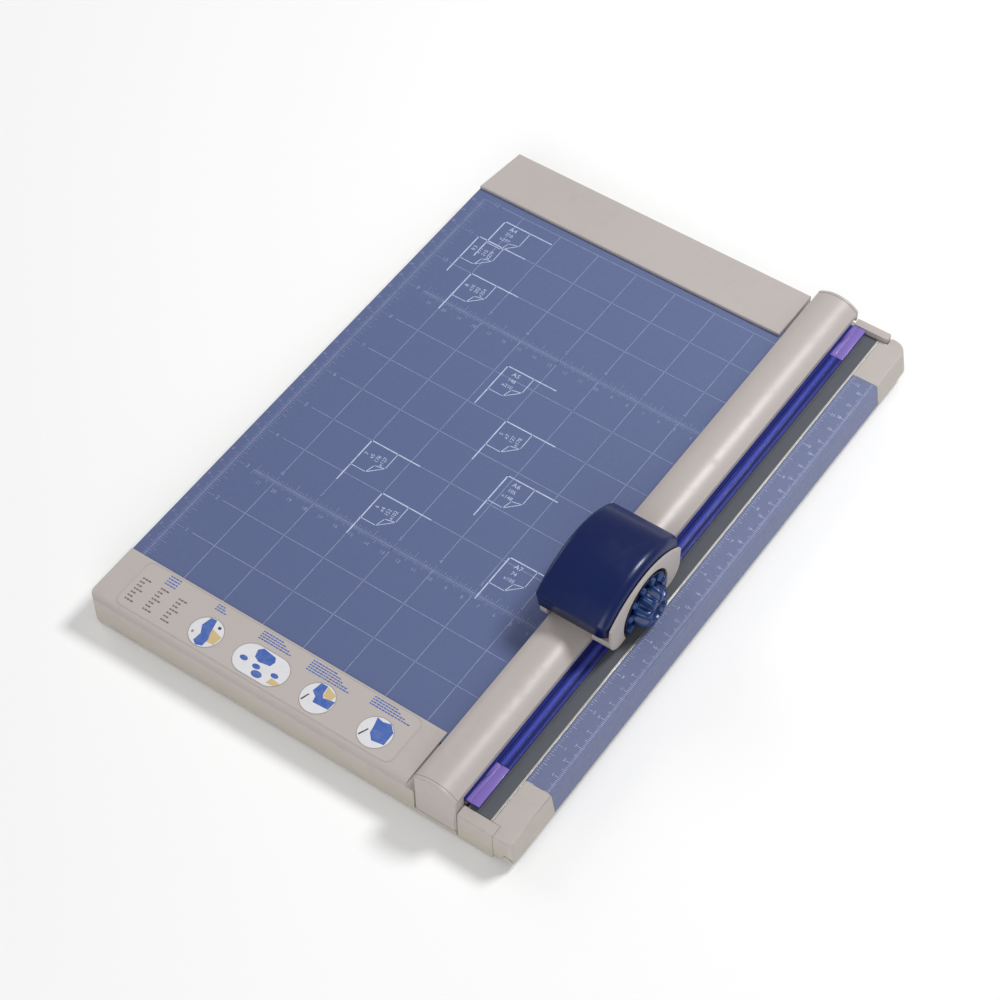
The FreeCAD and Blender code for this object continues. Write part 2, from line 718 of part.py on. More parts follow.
core_bar = box("core_bar", ("rail_left + core_side", "rail_right - core_side"), ("core_front", "core_back"),
               ("core_bottom", "core_top"))
core_hollow = box("core_hollow", ("rail_left + core_side + 2", "clamp_left - seam"), ("front", "back"),
                  ("core_bottom + core_floor", "core_top - core_roof"))
stud_places = [("clamp_left + 2.9", f"{line}") for line in ("front + 40", "back - 40")]
core_cuts = [core_hollow]
studs = []
bushes = []
for count, (x, y) in enumerate(stud_places):
    core_cuts.append(rod(f"stud_bore_{count}", "z", "stud_radius + rail_gap", (x, y, "core_bottom - 1"),
                         "core_height + 2"))
    core_cuts.append(rod(f"stud_pocket_{count}", "z", "stud_radius + 1.3", (x, y, "core_bottom + core_roof"),
                         "core_height"))
    shank = rod(f"stud_shank_{count}", "z", "stud_radius", (x, y, "clamp_top"), "core_top - clamp_top - 1")
    cap = rod(f"stud_cap_{count}", "z", "stud_radius + 0.9", (x, y, "core_top - 1.2"), "0.9")
    studs.append(fuse(f"stud_{count}", shank, cap))
    bush = rod(f"bush_bar_{count}", "z", "stud_radius + 0.9", (x, y, "core_bottom + core_roof"),
               "core_height - core_roof - 1.2")
    bush_bore = rod(f"bush_bore_{count}", "z", "stud_radius + 0.2", (x, y, "core_bottom"), "core_height")
    bushes.append(cut(f"bush_{count}", bush, bush_bore))
keep(group("bush_group", bushes), "clamp_bushes")

tongue_height = ("core_bottom + core_floor + seam / 2", "core_top - core_roof - seam / 2")
front_face = prism("block_face", "XZ", rail_outline("0", "block_bottom"), "rail_front", "rail_front + 2",
                   [("block_round", face_edge(0, "block_bottom"))])
front_foot = box("block_foot", ("rail_left", "rail_right"), ("rail_front + 1", "rail_front + block_depth"),
                 ("block_bottom", "skirt - seam"))
front_tongue = box("block_tongue", ("rail_left + core_side + 2.2", "clamp_left - seam * 2"),
                   ("rail_front + 1", "rail_front + block_depth + 14"), tongue_height)
tongue_x = "(rail_left + clamp_left) / 2"
front_screw_y = "rail_front + block_depth + 8"
rear_screw_y = "core_back - 7"
tongue_bores = [rod(f"tongue_bore_{end}", "z", "screw_radius", (tongue_x, y, "core_bottom"), "core_height")
                for end, y in (("front", front_screw_y), ("rear", rear_screw_y))]
keep(cut("front_block_cut", fuse("front_block_form", front_face, front_foot, front_tongue), tongue_bores[0]),
     "rail_front_block")

rear_face = prism("rear_face", "XZ", rail_outline("0", "skirt - rail_lift / 2"), "rail_back - 2",
                  "rail_back",
                  [("block_round", face_edge(2, "skirt - rail_lift / 2"))])
rear_arm = box("rear_arm", ("hub_left", "hub_right"), ("pivot_y", "rail_back - 1"),
               ("pivot_z - ear_radius + seam", "pivot_z + ear_radius - seam"))
rear_tongue = box("rear_tongue", ("hub_left", "hub_right"), ("core_back - 14", "pivot_y"), tongue_height)
rear_hub = rod("rear_hub", "x", "ear_radius - seam", ("hub_left", "pivot_y", "pivot_z"), "hub_width")
rear_bore = rod("rear_bore", "x", "hinge_pin_radius + running_fit", ("rail_left", "pivot_y", "pivot_z"),
                "rail_width")
keep(cut("rear_block_cut", fuse("rear_block_form", rear_face, rear_arm, rear_tongue, rear_hub), rear_bore,
         tongue_bores[1]), "rail_rear_block")

rail_screws = []
for end, y in (("front", front_screw_y), ("rear", rear_screw_y)):
    rail_screws.append(screw(f"rail_screw_{end}", "z", "screw_radius", "screw_radius * 1.7",
                             (tongue_x, y, "core_bottom + seam"), "2.6", "0.9"))
    core_cuts.append(rod(f"core_hole_{end}", "z", "screw_radius", (tongue_x, y, "core_bottom - 1"), "4"))
    core_cuts.append(rod(f"core_sink_{end}", "z", "screw_radius * 1.7 + seam / 2",
                         (tongue_x, y, "core_bottom - 1"), "2.1"))
keep(cut("rail_core_cut", core_bar, *core_cuts), "rail_core")
keep(group("rail_screw_group", rail_screws), "rail_screws")

# ---- paper clamp: strip, end pads and shoulder studs
clamp_base = box("clamp_base", ("clamp_left", "clamp_right"), ("clamp_front", "clamp_back"),
                 ("clamp_bottom", "clamp_top"))
rib_profile = [
    ("rail_right + 0.4", "clamp_top - 0.2"),
    ("clamp_right", "clamp_top - 0.2"),
    ("clamp_right", "clamp_top + 0.9"),
    ("clamp_right - 0.9", "clamp_top + 0.9"),
    ("clamp_right - 1.5", "clamp_top + 0.5"),
    ("clamp_right - 3.2", "clamp_top + 0.5"),
    ("clamp_right - 3.8", "clamp_top + 1.3"),
    ("clamp_right - 5.4", "clamp_top + 1.3"),
    ("clamp_right - 6.2", "clamp_top + 0.5"),
    ("rail_right + 0.4", "clamp_top + 0.5"),
]
clamp_rib = prism("clamp_rib", "XZ", rib_profile, "clamp_front + pad_length + seam",
                  "clamp_back - pad_length - seam")
keep(fuse("clamp_strip_form", clamp_base, clamp_rib), "clamp_strip")
for end, low in (("front", "clamp_front"), ("rear", "clamp_back - pad_length")):
    keep(box(f"pad_{end}", ("rail_right + 0.4", "clamp_right"), (low, f"{low} + pad_length"),
             ("clamp_top", "clamp_top + 1")), f"clamp_pad_{end}")
keep(group("stud_group", studs), "clamp_studs")


# ---- carriage saddle, shoes and springs
def span(half):
    return f"carriage_place - {half}", f"carriage_place + {half}"


def arch(half, radius, peak, bottom, draft):
    """A round-topped side view centred on the carriage."""
    corner = f"{peak} - {radius} + sqrt(({radius}) ^ 2 - ({half}) ^ 2)"
    return [
        (f"carriage_place - {half} + {draft}", bottom),
        (f"carriage_place + {half} - {draft}", bottom),
        (f"carriage_place + {half}", corner),
        (f"carriage_place - {half}", corner, radius),
    ]


def cheek(top):
    """A cheek's side view, square until its lower corners are rounded."""
    low, high = span("saddle_half")
    return [(low, "saddle_bottom"), (high, "saddle_bottom"), (high, top), (low, top)]


def cheek_corner(edge):
    """The cheek's lower edges across the rail."""
    points = [vertex.Point for vertex in edge.Vertexes]
    across = abs(points[0].x - points[-1].x) > 1
    return across and all(abs(point.z - number("saddle_bottom")) < 1e-4 for point in points)


cheek_rounds = [("cheek_round", cheek_corner)]
saddle_pieces = [
    prism("saddle_cheek_left", "YZ", cheek("web_bottom + 0.1"), "saddle_left",
          "rail_left - shoe_thick - seam / 2",
          cheek_rounds),
    prism("saddle_cheek_right", "YZ", cheek("web_bottom"), "cheek_left", "saddle_right", cheek_rounds),
    box("saddle_web", ("saddle_left + 2", "bay_left"), span("(saddle_half - 1.8)"),
        ("web_bottom", "web_top")),
    prism("saddle_plate", "YZ", arch("saddle_half", "(cover_arc - 4.5)", "(cover_peak - 4.5)",
                                     "saddle_bottom + cheek_round", "0"),
          "bay_right", "saddle_right"),
]
bay_cut = box("cartridge_bay", ("bay_left", "bay_right"), span("(ring_radius + 5)"), ("0", "cover_peak"))
ring_hole = rod("ring_hole", "x", "ring_radius + press_travel + 0.4",
                ("bay_left", "carriage_place", "blade_z"), "20")
post_places = [("rail_mid", "carriage_place - post_spread"), ("rail_mid", "carriage_place + post_spread")]
saddle_cuts = [bay_cut, ring_hole]
posts = []
post_screws = []
springs = []
for count, (x, y) in enumerate(post_places):
    saddle_cuts.append(rod(f"post_bore_{count}", "z", "post_radius + rail_gap", (x, y, "web_bottom - 1"),
                           "web_thick + 2"))
    saddle_cuts.append(rod(f"post_sink_{count}", "z", "post_radius + 1.6", (x, y, "web_bottom - 1"),
                           "web_thick / 2 + 0.2"))
    posts.append(rod(f"post_{count}", "z", "post_radius", (x, y, "web_bottom + web_thick / 2 - 0.8"),
                     "cover_peak - cover_skin - web_bottom - web_thick / 2 - 1"))
    post_screws.append(screw(f"cover_screw_{count}", "z", "screw_radius", "post_radius + 1.2",
                             (x, y, "web_bottom + web_thick / 2 - 1.9"), "8", "1.1"))
    springs.append(coil(f"return_coil_{count}", number("post_radius + 1"), 0.4, 5, (x, y, "web_top + 0.05"),
                        "spring_top - web_top - 0.3"))
keep(cut("saddle_cut", fuse("saddle_form", *saddle_pieces), *saddle_cuts), "slider_saddle")
keep(group("return_coil_group", springs), "return_springs")

shoes = []
for count, (low, high) in enumerate((("carriage_place - 27", "carriage_place - 15"),
                                     ("carriage_place + 15", "carriage_place + 27"))):
    for side, pad, hook in (("left", ("rail_left - shoe_thick - seam / 2", "rail_left - seam / 2"),
                             ("rail_left - shoe_thick - seam / 2", "rail_left + 1.6")),
                            ("right", ("rail_right + seam / 2", "cheek_left"),
                             ("rail_right - 1.6", "cheek_left"))):
        side_pad = box(f"shoe_pad_{side}{count}", pad, (low, high), ("saddle_bottom + 0.2", "rail_top - 1"))
        foot_pad = box(f"shoe_hook_{side}{count}", hook, (low, high),
                       ("saddle_bottom + 0.2", "skirt - seam"))
        shoes.append(fuse(f"shoe_{side}{count}", side_pad, foot_pad))
keep(group("shoe_group", shoes), "slider_shoes")


# ---- pressed handle: cover, screws, cartridge holder, cartridge and axle
def cover_side(edge):
    """An edge of the cover's two arched sides, its bottom left out."""
    width = number("cover_right - cover_left")
    points = [vertex.Point for vertex in edge.Vertexes]
    on_side = any(all(abs(point.x - side) < 1e-4 for point in points) for side in (0, width))
    return on_side and max(point.z for point in points) > number("cover_bottom") + 1


def cover_end(edge):
    """The long edges where the arch meets the front and back faces."""
    points = [vertex.Point for vertex in edge.Vertexes]
    level = abs(points[0].z - points[-1].z) < 1e-4
    return level and points[0].z > number("cover_bottom") + 1 and abs(points[0].x - points[-1].x) > 1


cover_form = prism("cover_form", "YZ", arch("cover_half", "cover_arc", "cover_peak", "cover_bottom",
                                            "cover_draft"),
                   "cover_left", "cover_right", [("cover_skin", cover_end), ("cover_skin * 2", cover_side)])
cover_hollow = prism("cover_hollow", "YZ",
                     arch("(cover_half - cover_skin)", "(cover_arc - cover_skin)",
                          "(cover_peak - cover_skin)",
                          "cover_bottom - 1", "cover_draft"),
                     "cover_left + cover_skin", "cover_right - cover_skin")
ring_window = rod("ring_window", "x", "ring_radius + seam", ("cover_right - cover_skin - 1",
                                                             "carriage_place", "blade_z"),
                  "8")
post_bores = [rod(f"post_hole_{count}", "z", "screw_radius", (x, y, "web_bottom"), "web_thick / 2 + 7.5")
              for count, (x, y) in enumerate(post_places)]
cover_shell = cut("cover_shell", cover_form, cover_hollow, ring_window)
keep(cut("cover_cut", fuse("cover_posts", cover_shell, *posts), *post_bores), "carriage_cover")
keep(group("cover_screw_group", post_screws), "cover_screws")

blade_start = ("carriage_place", "blade_z")
holder_disc = rod("holder_disc", "x", "ring_radius - 0.6", ("bay_left + 0.4", *blade_start),
                  "holder_right - bay_left - 0.4")
neck_top = "arch_centre + sqrt(arch_inside ^ 2 - 36)"
holder_neck = box("holder_neck", ("bay_left + 0.4", "holder_right"), span("6"), ("blade_z", neck_top))
holder_trim = box("holder_trim", ("rail_right", "right"), span("40"), ("0", "saddle_bottom + 0.4"))
axle_hole = rod("axle_hole", "x", "axle_radius", ("bay_left", *blade_start), "20")
keep(cut("holder_cut", fuse("holder_form", holder_disc, holder_neck), holder_trim, axle_hole),
     "cartridge_holder")

shell_disc = rod("shell_disc", "x", "ring_radius", ("ring_left", *blade_start), "ring_depth")
shell_dish = rod("shell_dish", "x", "ring_radius - ring_wall", ("knob_left - seam", *blade_start), "10")
blade_room = rod("blade_room", "x", "blade_radius + 0.8", ("ring_left - 1", *blade_start), "3")
shell_trim = box("shell_trim", ("rail_right", "right"), span("40"), ("0", "saddle_bottom + 1.1"))
shell_bore = rod("shell_bore", "x", "axle_radius", ("bay_left", *blade_start), "20")
keep(cut("shell_cut", shell_disc, shell_dish, blade_room, shell_trim, shell_bore), "cartridge_shell")
keep(rod("axle_rod", "x", "axle_radius", ("bay_left + 0.6", *blade_start), "knob_left + 4 - bay_left"),
     "blade_axle")

blade_blank = rod("blade_blank", "x", "blade_radius", ("blade_left", *blade_start), "blade_thick")
blade_eye = rod("blade_eye", "x", "axle_radius * 2", ("blade_left - 1", *blade_start), "3")
keep(cut("blade_cut", blade_blank, blade_eye), "blade_disc")
hub_bar = rod("blade_hub_bar", "x", "axle_radius * 2", ("ring_left + 0.3", *blade_start), "1.4")
hub_eye = rod("blade_hub_eye", "x", "axle_radius + running_fit", ("ring_left - 1", *blade_start), "4")
keep(cut("blade_hub_cut", hub_bar, hub_eye), "blade_hub")

# ---- fluted lock knob
knob = doc.addObject("Part::Cone", "knob_cone")
knob.Placement = FreeCAD.Placement(VECTOR(), LYING["x"])
for name, text in (("Radius1", "knob_radius"), ("Radius2", "knob_tip_radius"), ("Height", "knob_length"),
                   ("Placement.Base.x", "knob_left"), ("Placement.Base.y", "carriage_place"),
                   ("Placement.Base.z", "blade_z")):
    bind(knob, name, text)
FLUTES = 8
flutes = []
for count in range(FLUTES):
    angle = count * 360 / FLUTES
    place = ("knob_left + 1.5", f"carriage_place + (knob_radius + 0.6) * cos({angle})",
             f"blade_z + (knob_radius + 0.6) * sin({angle})")
    flutes.append(rod(f"flute_{count}", "x", "knob_radius / 4", place, "knob_length"))
knob_bore = rod("knob_bore", "x", "axle_radius + running_fit", ("bay_left", *blade_start),
                "knob_left + 5 - bay_left")
keep(cut("knob_cut", knob, *flutes, knob_bore), "lock_knob")

doc.recompute()
for thing in doc.Objects:
    if "Invalid" in thing.State or "Error" in thing.State:
        raise RuntimeError(f"{thing.Name} ({thing.Label}) failed: {thing.State}")
for node in nodes:
    if node.Shape.isNull() or not node.Shape.isValid() or not node.Shape.Solids:
        raise RuntimeError(f"{node.Label} has no valid shape")

os.makedirs("parts", exist_ok=True)
for node in nodes:
    node.Shape.exportStep(f"parts/{node.Label}.step")
    extent = node.Shape.BoundBox
    print(f"{node.Label:20s} {len(node.Shape.Solids):2d} solids {node.Shape.Volume / 1000:8.2f} cm3  "
          f"x {extent.XMin:7.1f} {extent.XMax:7.1f}  y {extent.YMin:7.1f} {extent.YMax:7.1f}  "
          f"z {extent.ZMin:5.1f} {extent.ZMax:5.1f}")
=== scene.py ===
"""Looks of the rotary paper trimmer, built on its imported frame. Every size is in metres."""
import json
import math

import bmesh
import bpy
from mathutils import Matrix, Vector

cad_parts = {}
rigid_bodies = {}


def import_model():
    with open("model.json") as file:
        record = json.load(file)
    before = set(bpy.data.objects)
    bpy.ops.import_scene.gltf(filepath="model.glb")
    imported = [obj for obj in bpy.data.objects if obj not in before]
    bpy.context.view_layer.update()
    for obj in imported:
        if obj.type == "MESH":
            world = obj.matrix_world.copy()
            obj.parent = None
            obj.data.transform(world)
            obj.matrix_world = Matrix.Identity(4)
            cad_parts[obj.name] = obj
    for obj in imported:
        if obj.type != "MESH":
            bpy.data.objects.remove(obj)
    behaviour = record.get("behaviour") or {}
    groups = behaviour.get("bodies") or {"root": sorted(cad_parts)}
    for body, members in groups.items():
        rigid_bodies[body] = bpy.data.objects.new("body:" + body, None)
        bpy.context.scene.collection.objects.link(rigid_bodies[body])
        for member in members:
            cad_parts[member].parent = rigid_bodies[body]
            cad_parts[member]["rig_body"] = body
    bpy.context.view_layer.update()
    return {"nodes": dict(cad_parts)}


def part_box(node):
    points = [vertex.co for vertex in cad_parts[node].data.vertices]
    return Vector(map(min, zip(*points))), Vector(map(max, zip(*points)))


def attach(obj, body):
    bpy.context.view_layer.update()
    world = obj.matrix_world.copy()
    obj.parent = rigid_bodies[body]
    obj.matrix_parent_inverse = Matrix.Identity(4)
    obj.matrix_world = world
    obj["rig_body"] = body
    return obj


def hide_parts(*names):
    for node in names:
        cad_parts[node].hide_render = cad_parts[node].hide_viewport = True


bl_info = {
    "name": "Rotary Paper Trimmer",
    "version": (1, 0, 0),
    "blender": (4, 5, 0),
    "location": "View3D > Sidebar > Trimmer",
    "description": "Builds the looks of a rotary paper trimmer on its packed frame",
    "category": "Add Mesh",
}

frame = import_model()

MM = 0.001
INCH = 0.0254
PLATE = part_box("cutting_plate")
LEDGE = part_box("front_ledge")
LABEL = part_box("instruction_label")
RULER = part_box("side_ruler")
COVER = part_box("carriage_cover")
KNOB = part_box("lock_knob")
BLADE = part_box("blade_disc")
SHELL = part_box("cartridge_shell")
CUT_X = (BLADE[0].x + BLADE[1].x) / 2
BLADE_Y = (BLADE[0].y + BLADE[1].y) / 2
BLADE_Z = (BLADE[0].z + BLADE[1].z) / 2
SCALE_ZERO = LEDGE[1].y

PAPER_SIZES = [
    ("A4", 210 * MM, 297 * MM, ("A4", "210", "x297")),
    ("letter", 8.5 * INCH, 11 * INCH, ("8.5", "x11", "215", "x279")),
    ("print_8", 8 * INCH, 10 * INCH, ("8", "x10", "203", "x254")),
    ("A5", 148 * MM, 210 * MM, ("A5", "148", "x210")),
    ("print_5", 5 * INCH, 7 * INCH, ("5", "x7", "127", "x178")),
    ("A6", 105 * MM, 148 * MM, ("A6", "105", "x148")),
    ("A7", 74 * MM, 105 * MM, ("A7", "74", "x105")),
    ("print_7", 7 * INCH, 5 * INCH, ("7", "x5", "178", "x127")),
    ("print_6", 6 * INCH, 4 * INCH, ("6", "x4", "152", "x102")),
]


def linear(red, green, blue):
    """A screen colour, each part 0 to 255, as the linear colour that a shader wants."""
    def part(value):
        value /= 255
        return value / 12.92 if value <= 0.04045 else ((value + 0.055) / 1.055) ** 2.4
    return (part(red), part(green), part(blue), 1.0)


def colour_property(name, description, *screen):
    return bpy.props.FloatVectorProperty(name=name, description=description, subtype="COLOR", size=4,
                                         min=0, max=1, default=linear(*screen))


def length_property(name, description, metres):
    return bpy.props.FloatProperty(name=name, description=description, default=metres, min=0,
                                   subtype="DISTANCE", unit="LENGTH", precision=6)


class TrimmerSizes(bpy.types.PropertyGroup):
    """Sizes of the details that the frame doesn't hold."""
    edge_round: length_property("Edge rounding", "Rounding of the moulded edges", 0.5 * MM)
    fine_round: length_property("Fine edge rounding", "Rounding of thin and metal edges", 0.2 * MM)
    ink_lift: length_property("Ink lift", "How far a printed layer stands off its surface", 0.03 * MM)
    grid_line: length_property("Grid line", "Width of the grid's lines", 0.36 * MM)
    tick_line: length_property("Tick line", "Width of a ruler's ticks", 0.2 * MM)
    bracket_line: length_property("Bracket line", "Width of the paper size brackets", 0.7 * MM)
    bracket_arm: length_property("Bracket arm", "Length of the paper size brackets", 31 * MM)
    numeral: length_property("Numeral height", "Height of the rulers' numerals", 2.7 * MM)
    cover_round: length_property("Cover rounding", "Rounding of the cover's right edge", 5.5 * MM)
    cover_round_left: length_property("Cover left rounding", "Rounding of the cover's left edge", 2.6 * MM)
    cover_wall: length_property("Cover wall", "Thickness of the cover", 2.0 * MM)
    picture_radius: length_property("Picture radius", "Radius of the label's round pictures", 9.2 * MM)


class TrimmerColours(bpy.types.PropertyGroup):
    """Colours of the finishes."""
    beige: colour_property("Beige", "Moulded beige plastic", 186, 178, 174)
    # a yellower beige for the low part of the sides
    beige_aged: colour_property("Aged beige", "The yellower beige low on the sides", 184, 178, 164)
    enamel: colour_property("Enamel", "The deck's blue enamel", 88, 100, 142)
    # the lit enamel is painted light: the deck's tone towards its back and right
    enamel_pale: colour_property("Pale enamel", "The enamel where it is paler", 97, 110, 150)
    ruler_blue: colour_property("Ruler blue", "The side ruler's enamel", 104, 112, 146)
    ink: colour_property("Ink", "The grid's pale ink", 146, 155, 192)
    ink_bright: colour_property("Bright ink", "The brackets' ink", 196, 205, 232)
    navy: colour_property("Navy", "The carriage cover", 10, 22, 74)
    navy_light: colour_property("Light navy", "The cover where it catches light", 10, 36, 86)
    teal: colour_property("Knob blue", "The knob", 22, 58, 118)
    clamp_blue: colour_property("Clamp blue", "The paper clamp", 44, 52, 132)
    violet: colour_property("Violet", "The clamp's end pads", 128, 108, 184)
    mat_grey: colour_property("Mat grey", "The cutting mat", 86, 89, 95)
    metal: colour_property("Metal", "Zinc-plated steel", 190, 190, 192)
    channel: colour_property("Channel", "The mat channel's pale aluminium", 214, 212, 206)
    dark: colour_property("Dark plastic", "The base's lower cover", 62, 62, 66)
    rubber: colour_property("Rubber", "The feet", 40, 40, 42)
    nylon: colour_property("Nylon", "The slider shoes", 226, 226, 220)
    brown_ink: colour_property("Brown ink", "The label's brown ink", 116, 92, 92)
    blue_ink: colour_property("Blue ink", "The label's blue ink", 62, 98, 176)
    picture_white: colour_property("Picture white", "Ground of the label's pictures", 222, 222, 226)
    picture_sand: colour_property("Picture sand", "Sand colour in the label's pictures", 205, 182, 128)
    outline: colour_property("Outline", "Thin outlines on the label", 150, 144, 142)


class TrimmerStage(bpy.types.PropertyGroup):
    """Camera, lights and floor."""
    camera_place: bpy.props.FloatVectorProperty(name="Camera place", description="Where the camera stands",
                                                subtype="TRANSLATION", unit="LENGTH",
                                                default=(0.510687, -0.728904, 1.140819))
    camera_aim: bpy.props.FloatVectorProperty(name="Camera aim",
                                              description="The point that the camera looks at",
                                              subtype="TRANSLATION", unit="LENGTH",
                                              default=(-0.0026, -0.0093, 0))
    camera_roll: bpy.props.FloatProperty(name="Camera roll", description="Turn about the line of sight",
                                         subtype="ANGLE", unit="ROTATION", default=math.radians(-0.84))
    lens: bpy.props.FloatProperty(name="Lens", description="Focal length", subtype="DISTANCE_CAMERA",
                                  default=98.39, min=1)
    key_power: bpy.props.FloatProperty(name="Key light", description="Power of the high back light",
                                       subtype="POWER", unit="POWER", default=14)
    side_power: bpy.props.FloatProperty(name="Side light", description="Power of the left light",
                                        subtype="POWER", unit="POWER", default=4.5)
    front_power: bpy.props.FloatProperty(name="Front light", description="Power of the front light",
                                         subtype="POWER", unit="POWER", default=12)
    sky: bpy.props.FloatProperty(name="Sky", description="Strength of the even white surround", default=0.27,
                                 min=0)


# ---- shader building
class Value:
    """One node output; Python's operators add Math nodes to its tree."""

    def __init__(self, finish, socket):
        self.finish = finish
        self.socket = socket

    def math(self, operation, *terms):
        return self.finish.node("ShaderNodeMath", {"operation": operation}, dict(enumerate(terms)))

    def __add__(self, other):
        return self.math("ADD", self, other)

    def __sub__(self, other):
        return self.math("SUBTRACT", self, other)

    def __rsub__(self, other):
        return self.math("SUBTRACT", other, self)

    def __mul__(self, other):
        return self.math("MULTIPLY", self, other)

    def __truediv__(self, other):
        return self.math("DIVIDE", self, other)

    def __abs__(self):
        return self.math("ABSOLUTE", self)

    def held(self):
        """The value kept between 0 and 1."""
        return self.finish.node("ShaderNodeClamp", inputs={0: self})

    __radd__ = __add__
    __rmul__ = __mul__


class Finish:
    """A material built round one Principled shader, patterned in the frame's own metres."""

    def __init__(self, name, **uniform):
        self.material = bpy.data.materials.new(name)
        self.material.use_nodes = True
        self.tree = self.material.node_tree
        self.shader = self.tree.nodes["Principled BSDF"]
        self.surface(**uniform)
        self.place = self.node("ShaderNodeTexCoord", output="Object")

    def node(self, kind, settings=None, inputs=None, output=0):
        """Add a node: settings first, then the values or links of its sockets."""
        made = self.tree.nodes.new(kind)
        for name, setting in (settings or {}).items():
            setattr(made, name, setting)
        for name, value in (inputs or {}).items():
            self.feed(made.inputs[name], value)
        return Value(self, made.outputs[output])

    def feed(self, socket, value):
        if isinstance(value, Value):
            self.tree.links.new(value.socket, socket)
        else:
            socket.default_value = value

    def surface(self, **values):
        """Set or link the shader's sockets, named in small letters with underscores."""
        sockets = {socket.name.lower().replace(" ", "_"): socket for socket in self.shader.inputs}
        for name, value in values.items():
            self.feed(sockets[name], value)

    def axis(self, letter):
        return self.node("ShaderNodeSeparateXYZ", inputs={0: self.place}, output=letter)

    def noise(self, scale, detail=2.0, stretch=(1, 1, 1), roughness=0.5):
        place = self.node("ShaderNodeVectorMath", {"operation": "MULTIPLY"}, {0: self.place, 1: stretch})
        return self.node("ShaderNodeTexNoise", {"normalize": True},
                         {"Vector": place, "Scale": scale, "Detail": detail, "Roughness": roughness})

    def spread(self, value, low, high):
        """Stretch the part of a value between low and high over 0 to 1."""
        return ((value - low) / (high - low)).held()

    def mix(self, share, first, second):
        return self.node("ShaderNodeMix", {"data_type": "RGBA"}, {0: share, 6: first, 7: second}, output=2)

    def relief(self, height, depth):
        """Bump the surface by a height of 0 to 1 times a depth."""
        bump = self.node("ShaderNodeBump", inputs={"Strength": 1.0, "Distance": depth, "Height": height})
        self.surface(normal=bump)


def shade(colour, factor):
    return tuple(part * factor for part in colour[:3]) + (1.0,)


def moulded(name, colour, low_tint=None, roughness=0.46, grain=0.035 * MM):
    """Spark-eroded plastic: a fine grain, faint clouds, handling marks, and a yellower tone low down,
    towards the table.
    """
    finish = Finish(name, specular_ior_level=0.42)
    clouds = finish.spread(finish.noise(14, 3), 0.3, 0.7)
    grime = finish.spread(finish.noise(120, 4, roughness=0.65), 0.52, 0.8)
    body = finish.mix(clouds * 0.5, colour, shade(colour, 0.93))
    if low_tint:
        # the tone turns yellower below 19 mm over the table
        low = (1 - finish.axis("Z") / (19 * MM)).held()
        body = finish.mix((low * 0.8 + clouds * 0.15).held(), body, low_tint)
    finish.surface(base_color=finish.mix(grime * 0.16, body, shade(colour, 0.62)),
                   roughness=roughness + grime * 0.14 + finish.noise(30) * 0.08)
    finish.relief(finish.noise(2400, 1) + finish.noise(700) * 0.5, grain)
    return finish.material


def enamelled(name, colour, pale):
    """Satin enamel on steel: painted light that makes it paler towards the back and right, slow random tone
    changes, orange peel and hair scratches.
    """
    finish = Finish(name, specular_ior_level=0.45)
    # painted light: the enamel grows paler towards the back and right
    painted_light_slope = finish.spread(finish.axis("X") * 0.5 + finish.axis("Y"), -0.16, 0.19)
    clouds = finish.noise(22, 3)
    mottle = finish.spread(finish.noise(420, 3, roughness=0.7), 0.35, 0.65)
    along = finish.noise(60, 2, (1, 14, 1))
    scratch = finish.spread(finish.noise(900, 2, (1, 0.03, 1)), 0.66, 0.74) * finish.spread(along, 0.5, 0.7)
    # the pale tone mixes painted light from the slope with random clouds of tone
    body = finish.mix((painted_light_slope * 0.75 + clouds * 0.25).held(), colour, pale)
    body = finish.mix(mottle * 0.22, body, shade(colour, 0.78))
    finish.surface(base_color=finish.mix(scratch * 0.35, body, shade(pale, 1.5)),
                   roughness=0.44 + mottle * 0.08 - scratch * 0.1)
    finish.relief(finish.noise(380, 2) - scratch * 0.4, 0.03 * MM)
    return finish.material


def printed(name, ink, ground, wear=0.3):
    """Screen-printed ink that has thinned in places to the ground beneath."""
    finish = Finish(name, specular_ior_level=0.4)
    worn = finish.spread(finish.noise(260, 4, roughness=0.7), 0.42, 0.72) * wear
    finish.surface(base_color=finish.mix(worn, ink, ground), roughness=0.5 + worn * 0.2)
    return finish.material


def polished(name, colour, pale, roughness=0.2, coat=0.35):
    """Polished plastic with a deep tone, faint swirls and a few dull finger marks."""
    finish = Finish(name, specular_ior_level=0.32, coat_weight=coat, coat_roughness=0.08)
    tone = finish.spread(finish.noise(16, 2), 0.3, 0.7)
    marks = finish.spread(finish.noise(75, 4, roughness=0.6), 0.52, 0.75)
    finish.surface(base_color=finish.mix(tone * 0.55, colour, pale), roughness=roughness + marks * 0.14)
    finish.relief(finish.noise(900, 2), 0.008 * MM)
    return finish.material


def metallic(name, colour, roughness=0.32, brushed=(1, 1, 1), grain=0.01 * MM):
    """Metal with brush lines across its stretch, and light tarnish."""
    finish = Finish(name)
    lines = finish.noise(1600, 2, brushed)
    tarnish = finish.spread(finish.noise(90, 3), 0.4, 0.75)
    finish.surface(base_color=finish.mix(tarnish * 0.4, colour, shade(colour, 0.72)), metallic=0.9,
                   roughness=roughness + lines * 0.16 + tarnish * 0.08)
    finish.relief(lines, grain)
    return finish.material


def matt_rubber(name, colour, scored=False):
    """Dull rubber with a dry bloom; a scored mat also shows the blade's track."""
    finish = Finish(name, specular_ior_level=0.3)
    bloom = finish.spread(finish.noise(180, 4, roughness=0.7), 0.35, 0.75)
    body = finish.mix(bloom * 0.35, colour, shade(colour, 1.35))
    relief = finish.noise(1900, 2)
    if scored:
        track = (1 - abs(finish.axis("X") - CUT_X) / (0.35 * MM)).held()
        broken = finish.spread(finish.noise(90, 3, (1, 2, 1)), 0.3, 0.6)
        body = finish.mix(track * broken * 0.7, body, shade(colour, 0.45))
        relief = relief * 0.4 - track * 0.9
    finish.surface(base_color=body, roughness=0.72 + bloom * 0.12)
    finish.relief(relief, 0.06 * MM)
    return finish.material


